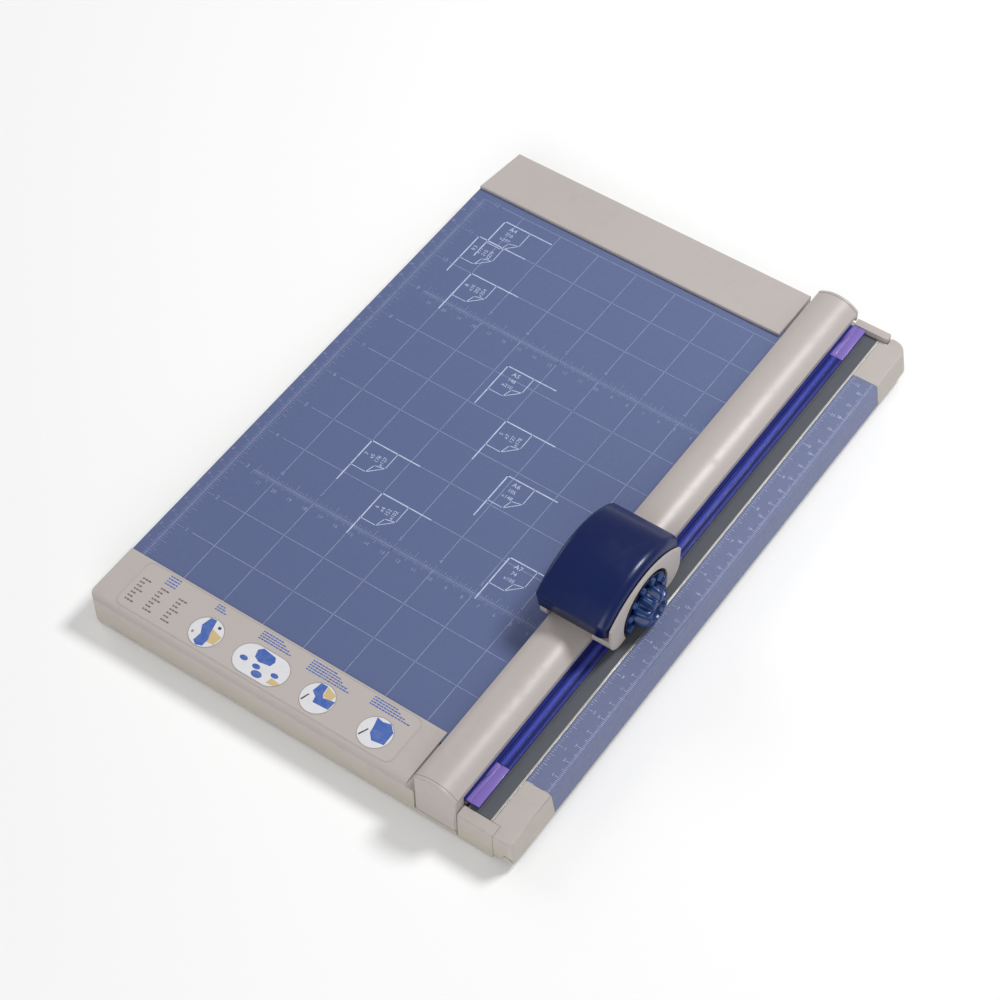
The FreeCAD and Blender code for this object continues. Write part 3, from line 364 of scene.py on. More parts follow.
# ---- mesh building
def add_piece(name, mesh_data, body, material, replaced=()):
    """Put a finished mesh in the scene, riding on a body."""
    piece = bpy.data.objects.new(name, mesh_data)
    bpy.context.scene.collection.objects.link(piece)
    piece.data.materials.clear()
    piece.data.materials.append(material)
    if replaced:
        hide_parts(*replaced)
    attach(piece, body)
    return piece


def to_mesh(name, shape, smooth_below=math.radians(35)):
    """Turn a bmesh into a mesh that is smooth but for its sharp edges."""
    mesh_data = bpy.data.meshes.new(name)
    shape.to_mesh(mesh_data)
    shape.free()
    mesh_data.polygons.foreach_set("use_smooth", [True] * len(mesh_data.polygons))
    mesh_data.set_sharp_from_angle(angle=smooth_below)
    return mesh_data


def bake_modifiers(piece):
    """Apply a piece's modifiers to its mesh."""
    bpy.context.view_layer.update()
    shown = piece.evaluated_get(bpy.context.evaluated_depsgraph_get())
    baked = bpy.data.meshes.new_from_object(shown)
    piece.modifiers.clear()
    piece.data = baked
    return piece


def stand_in(node, shape, material):
    """Put a finished shape in the place of a node, on the node's own body."""
    name = node + "_finish"
    return add_piece(name, to_mesh(name, shape), frame["nodes"][node]["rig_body"], material, (node,))


def round_edges(shape, edges, width, segments):
    bmesh.ops.bevel(shape, geom=edges, offset=width, segments=segments, profile=0.5, affect="EDGES",
                    clamp_overlap=True)


def carve(piece, shape):
    """Cut a shape's volume out of a piece."""
    cutter = bpy.data.objects.new("cutter", to_mesh("cutter", shape))
    bpy.context.scene.collection.objects.link(cutter)
    cut = piece.modifiers.new("cut", "BOOLEAN")
    cut.object = cutter
    cut.operation = "DIFFERENCE"
    bake_modifiers(piece)
    bpy.data.objects.remove(cutter)


def soften(node, material, width, segments=3, chosen=None):
    """Stand in for a hard-edged node with the same shape, its edges rounded."""
    shape = bmesh.new()
    shape.from_mesh(frame["nodes"][node].data)
    bmesh.ops.remove_doubles(shape, verts=shape.verts, dist=1e-6)
    bmesh.ops.dissolve_limit(shape, angle_limit=math.radians(0.6), verts=shape.verts, edges=shape.edges)
    sharp = [edge for edge in shape.edges
             if edge.is_manifold and edge.calc_face_angle(0) > math.radians(32)
             and edge.calc_length() > width * 2 and (chosen is None or chosen(edge))]
    round_edges(shape, sharp, width, segments)
    piece = stand_in(node, shape, material)
    weighted = piece.modifiers.new("even_normals", "WEIGHTED_NORMAL")
    weighted.keep_sharp = True
    return bake_modifiers(piece)


def coat(node, material):
    """Give a node that keeps its own shape its material."""
    target = frame["nodes"][node]
    target.data.materials.clear()
    target.data.materials.append(material)


class PrintedLayer:
    """Flat ink gathered into one mesh on a level surface."""

    def __init__(self, level):
        self.level = level
        self.shape = bmesh.new()

    def face(self, points):
        corners = [self.shape.verts.new((x, y, self.level)) for x, y in points]
        if self._area(points) < 0:
            corners.reverse()
        self.shape.faces.new(corners)

    @staticmethod
    def _area(points):
        return sum(x0 * y1 - x1 * y0 for (x0, y0), (x1, y1) in zip(points, points[1:] + points[:1]))

    def line(self, start, end, width):
        start, end = Vector(start), Vector(end)
        side = (end - start).normalized() * width / 2
        side = Vector((-side.y, side.x))
        self.face([tuple(start + side), tuple(start - side), tuple(end - side), tuple(end + side)])

    def path(self, points, width, closed=False):
        """Joined lines, each run on by half its width to fill the corners."""
        ends = list(zip(points, points[1:] + points[:1]))
        for start, end in ends if closed else ends[:-1]:
            start, end = Vector(start), Vector(end)
            reach = (end - start).normalized() * width / 2
            self.line(start - reach, end + reach, width)

    def round_path(self, middle, radius, width, stretch=0.0, steps=72):
        """A ring, drawn out along X by stretch into a capsule's outline."""
        inner = capsule(middle, radius - width / 2, stretch, steps)
        outer = capsule(middle, radius + width / 2, stretch, steps)
        for index in range(steps):
            after = (index + 1) % steps
            self.face([inner[index], outer[index], outer[after], inner[after]])

    def numeral(self, text, height, place, turn=0.0):
        """Characters centred on a place."""
        curve = bpy.data.curves.new("characters", "FONT")
        curve.body = text
        curve.size = height * 1.4
        curve.align_x = "CENTER"
        curve.align_y = "CENTER"
        curve.resolution_u = 3
        carrier = bpy.data.objects.new("characters", curve)
        bpy.context.scene.collection.objects.link(carrier)
        bpy.context.view_layer.update()
        drawn = bpy.data.meshes.new_from_object(carrier.evaluated_get(bpy.context.evaluated_depsgraph_get()))
        drawn.transform(Matrix.Translation((*place, self.level)) @ Matrix.Rotation(turn, 4, "Z"))
        self.shape.from_mesh(drawn)
        bpy.data.objects.remove(carrier)
        bpy.data.curves.remove(curve)
        bpy.data.meshes.remove(drawn)

    def done(self, name, body, material, slot):
        return add_piece(name, to_mesh(name, self.shape), body, material)


def capsule(middle, radius, stretch=0.0, steps=72):
    """Points round a circle whose two halves stand apart by stretch along X."""
    points = []
    for index in range(steps):
        turn = math.tau * index / steps
        push = math.copysign(stretch / 2, math.cos(turn))
        points.append((middle[0] + push + radius * math.cos(turn), middle[1] + radius * math.sin(turn)))
    return points


def ruler_ticks(layer, start, along, out, count, pitch, lengths, width):
    """Ticks from start; lengths maps a divisor of the tick's number to its length, longest first."""
    for index in range(count + 1):
        length = next(size for divisor, size in lengths if index % divisor == 0)
        foot = Vector(start) + Vector(along) * pitch * index
        layer.line(foot, foot + Vector(out) * length, width)


def number_row(layer, numbers, height, start, pitch):
    """Numerals in a row; each stands at start plus pitch times its own number."""
    for number in numbers:
        layer.numeral(str(number), height, (start[0] + pitch[0] * number, start[1] + pitch[1] * number))


INCH_TICKS = ((16, 6.2 * MM), (8, 4.8 * MM), (4, 3.8 * MM), (2, 2.9 * MM), (1, 2.0 * MM))
MILLIMETRE_TICKS = ((10, 3.4 * MM), (5, 2.6 * MM), (1, 1.6 * MM))


# ---- operators: one for each piece or group of like pieces
class TrimmerOperator(bpy.types.Operator):
    bl_options = {"REGISTER", "UNDO"}

    @property
    def sizes(self):
        return bpy.context.scene.trimmer_sizes

    def colour(self, name):
        return tuple(getattr(bpy.context.scene.trimmer_colours, name))


class TRIMMER_OT_base(TrimmerOperator):
    """Base: tray, trough, ledges, rear stop, bottom cover and feet"""
    bl_idname = "trimmer.base"
    bl_label = "Base"

    def execute(self, context):
        beige = moulded("beige_base", self.colour("beige"), self.colour("beige_aged"))
        ledge = moulded("beige_ledge", self.colour("beige"))
        soften("base_tray", beige, self.sizes.edge_round,
               chosen=lambda edge: outside_edge(edge, "base_tray"))
        for node in ("side_trough", "trough_ends"):
            soften(node, beige, self.sizes.fine_round,
                   chosen=lambda edge, node=node: outside_edge(edge, node))
        for node in ("front_ledge", "back_ledge", "mat_stop_rear"):
            soften(node, ledge, self.sizes.edge_round * 0.7)
        coat("bottom_cover", moulded("dark_base", self.colour("dark"), roughness=0.6))
        soften("rubber_feet", matt_rubber("foot_rubber", self.colour("rubber")),
               self.sizes.edge_round)
        return {"FINISHED"}


def outside_edge(edge, node):
    """An edge near the outer faces of a shell, so that its hidden ribs stay plain."""
    low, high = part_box(node)
    near = 3.2 * MM
    return all(vert.co.z > high.z - near or min(vert.co.x - low.x, high.x - vert.co.x,
                                                vert.co.y - low.y, high.y - vert.co.y) < near
               for vert in edge.verts)


class TRIMMER_OT_deck(TrimmerOperator):
    """Enamelled deck plate"""
    bl_idname = "trimmer.deck"
    bl_label = "Deck plate"

    def execute(self, context):
        # the lit enamel is the painted light of the deck's slope
        enamel = enamelled("deck_enamel", self.colour("enamel"), self.colour("enamel_pale"))
        soften("cutting_plate", enamel, self.sizes.fine_round)
        return {"FINISHED"}


class TRIMMER_OT_deck_print(TrimmerOperator):
    """Grid, rulers and paper size brackets printed on the deck"""
    bl_idname = "trimmer.deck_print"
    bl_label = "Deck printing"

    ruler_rows = (3, 9)
    last_row = 12
    left_margin = 19 * MM
    ruler_gap = 8.4 * MM

    def execute(self, context):
        faint = printed("faint_ink", self.colour("ink"), self.colour("enamel"), 0.55)
        bright = printed("bright_ink", self.colour("ink_bright"), self.colour("enamel"), 0.4)
        level = PLATE[1].z + self.sizes.ink_lift
        grid = PrintedLayer(level)
        self.draw_grid(grid)
        self.draw_edge_ruler(grid)
        for row in self.ruler_rows:
            self.draw_cross_ruler(grid, SCALE_ZERO + row * INCH)
        grid.done("deck_grid", "base", faint, "blue_plate")
        brackets = PrintedLayer(level + self.sizes.ink_lift / 2)
        for paper in PAPER_SIZES:
            self.draw_bracket(brackets, *paper)
        brackets.done("paper_brackets", "base", bright, "blue_plate")
        return {"FINISHED"}

    def draw_grid(self, layer):
        width = self.sizes.grid_line
        left, right = PLATE[0].x + self.left_margin, PLATE[1].x - 2 * MM
        for row in range(1, self.last_row + 1):
            if row not in self.ruler_rows:
                y = SCALE_ZERO + row * INCH
                layer.line((left, y), (right, y), width)
        stops = [SCALE_ZERO + row * INCH for row in (0, *self.ruler_rows, self.last_row)]
        for column in range(2, 9):
            x = CUT_X - column * INCH
            for start, end in zip(stops, stops[1:]):
                clear = self.ruler_gap if start > SCALE_ZERO else 0
                layer.line((x, start + clear), (x, end), width)

    def draw_edge_ruler(self, layer):
        spine = PLATE[0].x + 7.2 * MM
        last = SCALE_ZERO + self.last_row * INCH
        layer.line((spine, SCALE_ZERO), (spine, last), self.sizes.grid_line)
        ruler_ticks(layer, (spine, SCALE_ZERO), (0, 1), (1, 0), self.last_row * 16, INCH / 16, INCH_TICKS,
                    self.sizes.tick_line)
        ruler_ticks(layer, (spine, SCALE_ZERO), (0, 1), (-1, 0), 304, MM, MILLIMETRE_TICKS,
                    self.sizes.tick_line)
        number_row(layer, range(1, 13), self.sizes.numeral, (spine + 8.2 * MM, SCALE_ZERO), (0, INCH))
        number_row(layer, range(1, 31), self.sizes.numeral * 0.62,
                   (spine - 5.3 * MM, SCALE_ZERO + 1.4 * MM), (0, 10 * MM))

    def draw_cross_ruler(self, layer, y):
        left, right = PLATE[0].x + self.left_margin + 0.5 * MM, CUT_X - 1.3 * INCH
        layer.line((left, y), (right, y), self.sizes.grid_line)
        ruler_ticks(layer, (CUT_X - 8.5 * INCH, y), (1, 0), (0, 1), round(7.25 * 16), INCH / 16,
                    tuple((divisor, length * 0.8) for divisor, length in INCH_TICKS), self.sizes.tick_line)
        ruler_ticks(layer, (CUT_X - 217 * MM, y), (1, 0), (0, -1), 183, MM,
                    ((10, 3.2 * MM), (5, 2.6 * MM), (1, 1.8 * MM)), self.sizes.tick_line)
        number_row(layer, range(2, 9), self.sizes.numeral, (CUT_X, y + 6.6 * MM), (-INCH, 0))
        number_row(layer, range(4, 22), self.sizes.numeral * 0.8, (CUT_X, y - 5.6 * MM), (-10 * MM, 0))

    def draw_bracket(self, layer, name, across, along, words):
        corner = Vector((CUT_X - across, SCALE_ZERO + along))
        arm = self.sizes.bracket_arm
        tag, deep = 17 * MM, 19 * MM
        clip = 7.4 * MM

        def at(x, y):
            return corner + Vector((x, y))

        layer.path([at(arm, 0), at(0, 0), at(0, -arm)], self.sizes.bracket_line)
        thin = self.sizes.bracket_line * 0.62
        layer.path([at(tag, 0), at(tag, -deep + clip), at(tag - clip, -deep), at(0, -deep)], thin)
        layer.path([at(tag, -deep + clip), at(tag - clip * 0.8, -deep + clip * 0.8), at(tag - clip, -deep)],
                   thin)
        upright = name.startswith("A")
        for index, word in enumerate(words):
            height = 2.3 * MM if upright and index else 2.9 * MM
            if upright:
                layer.numeral(word, height, at(7.6 * MM, (-3.4 - index * 4.3) * MM))
            else:
                layer.numeral(word, 2.3 * MM, at((3 + index * 3.5) * MM, -8.6 * MM), math.pi / 2)


class TRIMMER_OT_label(TrimmerOperator):
    """Instruction label on the front ledge, with generic pictures"""
    bl_idname = "trimmer.label"
    bl_label = "Instruction label"

    def execute(self, context):
        film = Finish("label_film", specular_ior_level=0.5)
        film.surface(base_color=film.mix(film.noise(40, 3) * 0.4, shade(self.colour("beige"), 1.03),
                                         shade(self.colour("beige"), 0.95)), roughness=0.34)
        film.relief(film.noise(700, 2), 0.01 * MM)
        coat("instruction_label", film.material)
        level = LABEL[1].z + self.sizes.ink_lift
        self.draw_words(level)
        self.draw_pictures(level)
        return {"FINISHED"}

    def layer_done(self, layer, name, colour):
        layer.done(name, "base", printed(name + "_ink", self.colour(colour), self.colour("beige"), 0.18),
                   "printed_label")

    def draw_words(self, level):
        """Rows of small strokes where the label has its lists and captions."""
        brown = PrintedLayer(level)
        blue = PrintedLayer(level)
        stroke = 0.9 * MM
        back = LABEL[1].y
        for column in range(3):
            x = LABEL[0].x + (4 + column * 11.6) * MM
            for row in range(7):
                y = back - (10.6 + row * 2.45) * MM
                self.stroke_row(brown, (x, y), (5.2 - row % 3) * MM, stroke)
        for row in range(4):
            self.stroke_row(blue, (LABEL[0].x + 15 * MM, back - (1.6 + row * 1.75) * MM), 7 * MM,
                            stroke * 0.8)
        captions = ((LABEL[0].x + 46 * MM, 3, 7 * MM), (LABEL[0].x + 75 * MM, 4, 21 * MM),
                    (LABEL[0].x + 106 * MM, 5, 27 * MM), (LABEL[0].x + 144 * MM, 4, 24 * MM))
        for x, rows, length in captions:
            for row in range(rows):
                taper = length * (0.45 + 0.55 * (row + 1) / rows)
                self.stroke_row(blue, (x, back - (1.9 + row * 1.5) * MM), taper, stroke * 0.8)
        outline = PrintedLayer(level)
        corner = 4 * MM
        left, right = LABEL[0].x + 0.64 * MM, LABEL[1].x - 0.64 * MM
        low, high = LABEL[0].y + 0.48 * MM, back - 0.16 * MM
        points = []
        for centre_x, centre_y, start in ((right - corner, high - corner, 0),
                                          (left + corner, high - corner, 1),
                                          (left + corner, low + corner, 2),
                                          (right - corner, low + corner, 3)):
            for step in range(9):
                turn = (start + step / 8) * math.pi / 2
                points.append((centre_x + corner * math.cos(turn), centre_y + corner * math.sin(turn)))
        outline.path(points, 0.16 * MM, closed=True)
        self.layer_done(brown, "label_lists", "brown_ink")
        self.layer_done(blue, "label_captions", "blue_ink")
        self.layer_done(outline, "label_outline", "outline")

    @staticmethod
    def stroke_row(layer, start, length, width):
        """One line of words as strokes of uneven length."""
        x, end, index = start[0], start[0] + length, 0
        while x < end - width:
            run = min((1.1 + 0.9 * ((index * 7) % 5) / 4) * MM, end - x)
            layer.line((x, start[1]), (x + run, start[1]), width)
            x += run + 0.35 * MM
            index += 1

    def draw_pictures(self, level):
        radius = self.sizes.picture_radius
        middle_y = (LABEL[0].y + LABEL[1].y) / 2 - 3.7 * MM
        places = [(LABEL[0].x + 51.5 * MM, 0), (LABEL[0].x + 86.3 * MM, 13.6 * MM),
                  (LABEL[0].x + 121.4 * MM, 0), (LABEL[0].x + 156.6 * MM, 0)]
        white, ring, sand, blue, dark = (PrintedLayer(level + lift * self.sizes.ink_lift)
                                         for lift in (0.5, 3.0, 1.0, 1.6, 2.3))
        for x, stretch in places:
            white.face(capsule((x, middle_y), radius, stretch))
            ring.round_path((x, middle_y), radius, 0.3 * MM, stretch)
        first, blades, third, last = (Vector((x, middle_y)) for x, stretch in places)

        def patch(layer, centre, points):
            layer.face([(centre.x + x * MM, centre.y + y * MM) for x, y in points])

        def spot(layer, centre, x, y, wide, tall):
            layer.face([(centre.x + x * MM + wide * MM * math.cos(turn),
                         centre.y + y * MM + tall * MM * math.sin(turn))
                        for turn in (math.tau * step / 20 for step in range(20))])

        patch(sand, first, ((1.5, 3.5), (8.6, 1.5), (7.8, -4.2), (3.6, -4.6), (2, -1.5)))
        patch(blue, first, ((-3.2, 8.3), (0.2, 8.7), (2.2, 0.2), (3.6, -3), (3.4, -7.6), (0, -8.9),
                            (-2.6, -7.2), (-2, -2), (-4.6, 2.5)))
        spot(dark, first, 4.2, 5.6, 1.0, 0.9)
        spot(ring, first, -6.2, -3.2, 0.7, 0.9)
        patch(blue, blades, ((-6.8, 6.4), (-4.6, 8.6), (3.6, 7.4), (5, 5), (4.2, 1.8), (-2.2, 0.6),
                             (-5.6, 2.2)))
        for x, y, wide, tall in ((-9.8, -1.4, 2.3, 1.5), (-1.4, -2.2, 2.3, 1.5), (1.4, -5.8, 3.1, 2.0),
                                 (9.6, -1.6, 2.2, 1.4)):
            spot(blue, blades, x, y, wide, tall)
        patch(sand, blades, ((9.2, -3.4), (15.2, -4.2), (12.6, -6.8), (8.2, -7.2)))
        patch(sand, third, ((0.5, 8.4), (6.8, 6), (6.2, 1.8), (1.4, 2.4)))
        patch(blue, third, ((-3.8, 8.2), (0.2, 8.5), (0.8, 3.6), (2, 1.6), (8.6, 2.9), (8.3, -2.6),
                            (-0.8, -3.2), (-1.6, 0.2), (-4.8, 2.4)))
        patch(dark, third, ((-5.4, -0.2), (-4.7, -0.4), (-6.2, -5.2), (-7, -4.8)))
        patch(blue, last, ((-4.2, 7.8), (-0.4, 7), (3.8, 8.2), (7.6, 4.6), (7.8, -3.6), (1, -4.8),
                           (-2.2, -1.4), (-2.8, 2.6)))
        patch(dark, last, ((-4.4, 0), (-3.7, -0.3), (-6, -5.6), (-6.8, -5.2)))
        for layer, name, colour in ((white, "picture_grounds", "picture_white"),
                                    (sand, "picture_sand", "picture_sand"),
                                    (blue, "picture_blues", "blue_ink"), (dark, "picture_darks", "dark"),
                                    (ring, "picture_rings", "outline")):
            self.layer_done(layer, name, colour)


class TRIMMER_OT_rail(TrimmerOperator):
    """Guide rail: cover, end blocks and core"""
    bl_idname = "trimmer.rail"
    bl_label = "Guide rail"

    def execute(self, context):
        beige = moulded("beige_rail", self.colour("beige"), roughness=0.3, grain=0.02 * MM)
        for node in ("rail_cover", "rail_front_block", "rail_rear_block"):
            soften(node, beige, self.sizes.fine_round)
        coat("rail_core", metallic("extruded_aluminium", self.colour("channel"), 0.36, (14, 0.4, 14)))
        return {"FINISHED"}


class TRIMMER_OT_clamp(TrimmerOperator):
    """Blue paper clamp and its violet end pads"""
    bl_idname = "trimmer.clamp"
    bl_label = "Paper clamp"

    def execute(self, context):
        soften("clamp_strip", self.clear_blue(), self.sizes.fine_round * 0.6, segments=2)
        violet = polished("pad_violet", self.colour("violet"), shade(self.colour("violet"), 1.15), 0.3, 0.2)
        for node, notch_end in (("clamp_pad_front", 1), ("clamp_pad_rear", -1)):
            self.build_pad(node, violet, notch_end)
        return {"FINISHED"}

    def clear_blue(self):
        """Blue plastic with painted shade in the valley beside its ribs and along the strip by the rail's
        edge, and a painted highlight on the backs of its ribs.
        """
        blue = self.colour("clamp_blue")
        low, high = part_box("clamp_strip")
        finish = Finish("clamp_blue", specular_ior_level=0.4, coat_weight=0.25, coat_roughness=0.06)
        across = finish.axis("X")
        # painted shade in the valley between the rib and the lip
        valley_shade = (1 - abs(across - (high.x - 2.2 * MM)) / (1.3 * MM)).held()
        # painted shadow of the rail's edge, along the strip just beside it
        foot = (1 - abs(across - (low.x + 8.2 * MM)) / (0.8 * MM)).held()
        # painted highlight on the top half millimetre of the ribs
        back = finish.spread(finish.axis("Z"), high.z - 0.5 * MM, high.z)
        streaks = finish.spread(finish.noise(260, 2, (3, 0.05, 1)), 0.4, 0.65)
        body = finish.mix(streaks * 0.4, blue, shade(blue, 1.45))
        body = finish.mix((valley_shade + foot).held() * 0.75, body, shade(blue, 0.22))
        finish.surface(base_color=finish.mix(back * 0.55, body, shade(blue, 2.4)),
                       roughness=0.2 + streaks * 0.08)
        finish.relief(finish.noise(900, 2), 0.006 * MM)
        return finish.material

    def build_pad(self, node, material, notch_end):
        """A pad with a long groove and a notch in its left edge."""
        low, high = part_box(node)
        wide, groove, deep = high.x - low.x, 0.5 * MM, 0.45 * MM
        split = low.x + wide * 0.34
        profile = [(low.x, low.z), (high.x, low.z), (high.x, high.z), (split + groove, high.z),
                   (split + groove, high.z - deep), (split, high.z - deep), (split, high.z), (low.x, high.z)]
        shape = bmesh.new()
        face = shape.faces.new([shape.verts.new((x, low.y, z)) for x, z in profile])
        grown = bmesh.ops.extrude_face_region(shape, geom=[face])["geom"]
        bmesh.ops.translate(shape, vec=(0, high.y - low.y, 0),
                            verts=[v for v in grown if isinstance(v, bmesh.types.BMVert)])
        bmesh.ops.recalc_face_normals(shape, faces=shape.faces)
        round_edges(shape, list(shape.edges), 0.12 * MM, 2)
        notch = bmesh.new()
        notch_place = (low.x, (low.y + high.y) / 2 + notch_end * 1.5 * MM, high.z)
        notch_size = (1.3 * MM, 3.6 * MM, 1.2 * MM)
        bmesh.ops.create_cube(notch, size=1,
                              matrix=Matrix.Translation(notch_place) @ Matrix.Diagonal((*notch_size, 1)))
        carve(stand_in(node, shape, material), notch)


class TRIMMER_OT_mat(TrimmerOperator):
    """Cutting mat and its aluminium channel"""
    bl_idname = "trimmer.mat"
    bl_label = "Cutting mat"

    def execute(self, context):
        coat("cutting_mat", matt_rubber("scored_mat", self.colour("mat_grey"), scored=True))
        pale = metallic("channel_metal", self.colour("channel"), 0.3, (14, 0.3, 14))
        soften("mat_channel", pale, self.sizes.fine_round * 0.7, segments=2)
        return {"FINISHED"}


class TRIMMER_OT_side_door(TrimmerOperator):
    """Side door: ruler skin with its printing, caps and carrier"""
    bl_idname = "trimmer.side_door"
    bl_label = "Side door"

    def execute(self, context):
        # the paler ruler blue is painted light, laid on by the enamel's slope
        enamel = enamelled("ruler_enamel", self.colour("ruler_blue"), shade(self.colour("ruler_blue"), 1.18))
        soften("side_ruler", enamel, self.sizes.fine_round)
        beige = moulded("beige_cap", self.colour("beige"), self.colour("beige_aged"))
        for node in ("door_cap_front", "door_cap_rear"):
            soften(node, beige, self.sizes.edge_round, segments=4)
        coat("door_carrier", moulded("dark_carrier", self.colour("dark")))
        self.draw_ruler()
        return {"FINISHED"}

    def draw_ruler(self):
        layer = PrintedLayer(RULER[1].z + self.sizes.ink_lift)
        start, end = RULER[0].y, RULER[1].y
        inner, outer = RULER[0].x + 1.0 * MM, RULER[1].x - 3.8 * MM
        short_inch = tuple((divisor, length * 0.55) for divisor, length in INCH_TICKS)
        ruler_ticks(layer, (inner, start), (0, 1), (1, 0), int((end - start) / INCH * 16), INCH / 16,
                    short_inch, self.sizes.tick_line)
        ruler_ticks(layer, (outer, start), (0, 1), (-1, 0), int((end - start) / MM), MM, MILLIMETRE_TICKS,
                    self.sizes.tick_line)
        number_row(layer, range(1, 13), self.sizes.numeral * 0.68, (inner + 4.6 * MM, start), (0, INCH))
        number_row(layer, range(1, 31), self.sizes.numeral * 0.6, (outer - 4.4 * MM, start), (0, 10 * MM))
        ink = printed("ruler_ink", self.colour("ink_bright"), self.colour("ruler_blue"), 0.6)
        layer.done("ruler_print", "door", ink, "blue_ruler")


class TRIMMER_OT_cover(TrimmerOperator):
    """Navy arched cover of the carriage"""
    bl_idname = "trimmer.cover"
    bl_label = "Carriage cover"

    arch_radius = 52 * MM
    slant = 1.8 * MM
    corner_round = 2.6 * MM
    arc_steps = 40
    corner_steps = 8
    side_steps = 10

    def execute(self, context):
        navy = polished("navy_gloss", self.colour("navy"), self.colour("navy_light"), 0.3, 0.12)
        piece = stand_in("carriage_cover", self.skin(), navy)
        wall = piece.modifiers.new("wall", "SOLIDIFY")
        wall.thickness = self.sizes.cover_wall
        wall.offset = -1
        bake_modifiers(piece)
        carve(piece, self.window())
        return {"FINISHED"}

    def outline(self, inset):
        """Front-to-back outline of the cover, drawn in by inset, open at the bottom."""
        half = (COVER[1].y - COVER[0].y) / 2 - inset
        middle = (COVER[1].y + COVER[0].y) / 2
        arc = self.arch_radius - inset
        corner = max(self.corner_round - inset, 0.5 * MM)
        bottom, centre_z = COVER[0].z, COVER[1].z - self.arch_radius
        # a circle inside both the slanted face and the arch rounds the corner between them
        start = math.asin((half - corner) / (arc - corner))
        centre = Vector((corner - half, centre_z + (arc - corner) * math.cos(start)))
        face_turn = math.pi + math.atan2(self.slant, centre.y - bottom)
        arch_turn = math.pi / 2 + start
        points = [Vector((self.slant - half, bottom))]
        for step in range(self.corner_steps + 1):
            turn = face_turn + (arch_turn - face_turn) * step / self.corner_steps
            points.append(centre + Vector((math.cos(turn), math.sin(turn))) * corner)
        mirrored = [Vector((-point.x, point.y)) for point in reversed(points)]
        for step in range(1, self.arc_steps):
            turn = arch_turn - 2 * start * step / self.arc_steps
            points.append(Vector((arc * math.cos(turn), centre_z + arc * math.sin(turn))))
        return [(middle + point.x, point.y) for point in points + mirrored]

    def skin(self):
        """The outline swept from left to right, drawn in round both side edges, then closed at the sides."""
        turns = [math.pi / 2 * step / self.side_steps for step in range(self.side_steps + 1)]
        near, far = self.sizes.cover_round_left, self.sizes.cover_round
        left = [(COVER[0].x + near * (1 - math.cos(turn)), near * (1 - math.sin(turn))) for turn in turns]
        right = [(COVER[1].x - far * (1 - math.cos(turn)), far * (1 - math.sin(turn)))
                 for turn in reversed(turns)]
        shape = bmesh.new()
        rings = [[shape.verts.new((x, y, z)) for y, z in self.outline(inset)] for x, inset in left + right]
        for ring, after in zip(rings, rings[1:]):
            for index in range(len(ring) - 1):
                shape.faces.new((ring[index], ring[index + 1], after[index + 1], after[index]))
        for ring in (rings[0], rings[-1]):
            shape.faces.new(ring)
        bmesh.ops.recalc_face_normals(shape, faces=shape.faces)
        if max(shape.faces, key=lambda face: face.calc_center_median().z).normal.z < 0:
            bmesh.ops.reverse_faces(shape, faces=shape.faces)
        return shape

    @staticmethod
    def window():
        """The volume of the round window for the blade cartridge in the right side."""
        radius = (SHELL[1].y - SHELL[0].y) / 2 + 0.25 * MM
        place = Matrix.Translation((COVER[1].x, BLADE_Y, BLADE_Z)) @ Matrix.Rotation(math.pi / 2, 4, "Y")
        shape = bmesh.new()
        bmesh.ops.create_cone(shape, cap_ends=True, segments=96, radius1=radius, radius2=radius,
                              depth=12 * MM, matrix=place)
        return shape


class TRIMMER_OT_cartridge(TrimmerOperator):
    """Saddle, blade cartridge and blade"""
    bl_idname = "trimmer.cartridge"
    bl_label = "Saddle and blade cartridge"

    ribs = 12

    def execute(self, context):
        beige = moulded("beige_saddle", self.colour("beige"), roughness=0.4)
        soften("slider_saddle", beige, self.sizes.fine_round)
        dark = polished("cartridge_navy", shade(self.colour("navy"), 0.25), shade(self.colour("navy"), 0.5),
                        0.32, 0.1)
        for node in ("cartridge_shell", "cartridge_holder"):
            soften(node, dark, self.sizes.fine_round)
        self.build_grip()
        coat("blade_disc", metallic("ground_blade", shade(self.colour("metal"), 1.2), 0.12, (1, 1, 1)))
        nylon = moulded("nylon", self.colour("nylon"), roughness=0.4)
        for node in ("slider_shoes", "blade_hub"):
            coat(node, nylon)
        return {"FINISHED"}

    def build_grip(self):
        """Rounded ribs round the knob, on the part of the cartridge that stands clear of the deck."""
        grip = polished("grip_blue", self.colour("teal"), shade(self.colour("teal"), 0.6), 0.28, 0.2)
        inner = (KNOB[1].z - KNOB[0].z) / 2 + 0.7 * MM
        outer = (SHELL[1].y - SHELL[0].y) / 2 - 0.5 * MM
        shape = bmesh.new()
        size = Matrix.Diagonal((4.2 * MM, outer - inner, 3.4 * MM, 1))
        shift = Matrix.Translation((SHELL[1].x - 0.3 * MM, (outer + inner) / 2, 0))
        for index in range(self.ribs):
            turn = math.tau * (index + 0.5) / self.ribs
            lowest = BLADE_Z + outer * math.sin(turn) - 2.4 * MM
            if lowest < SHELL[0].z:
                continue
            place = Matrix.Translation((0, BLADE_Y, BLADE_Z)) @ Matrix.Rotation(turn, 4, "X")
            bmesh.ops.create_cube(shape, size=1, matrix=place @ shift @ size)
        round_edges(shape, list(shape.edges), 1.1 * MM, 4)
        add_piece("cartridge_grip", to_mesh("cartridge_grip", shape), "handle", grip)


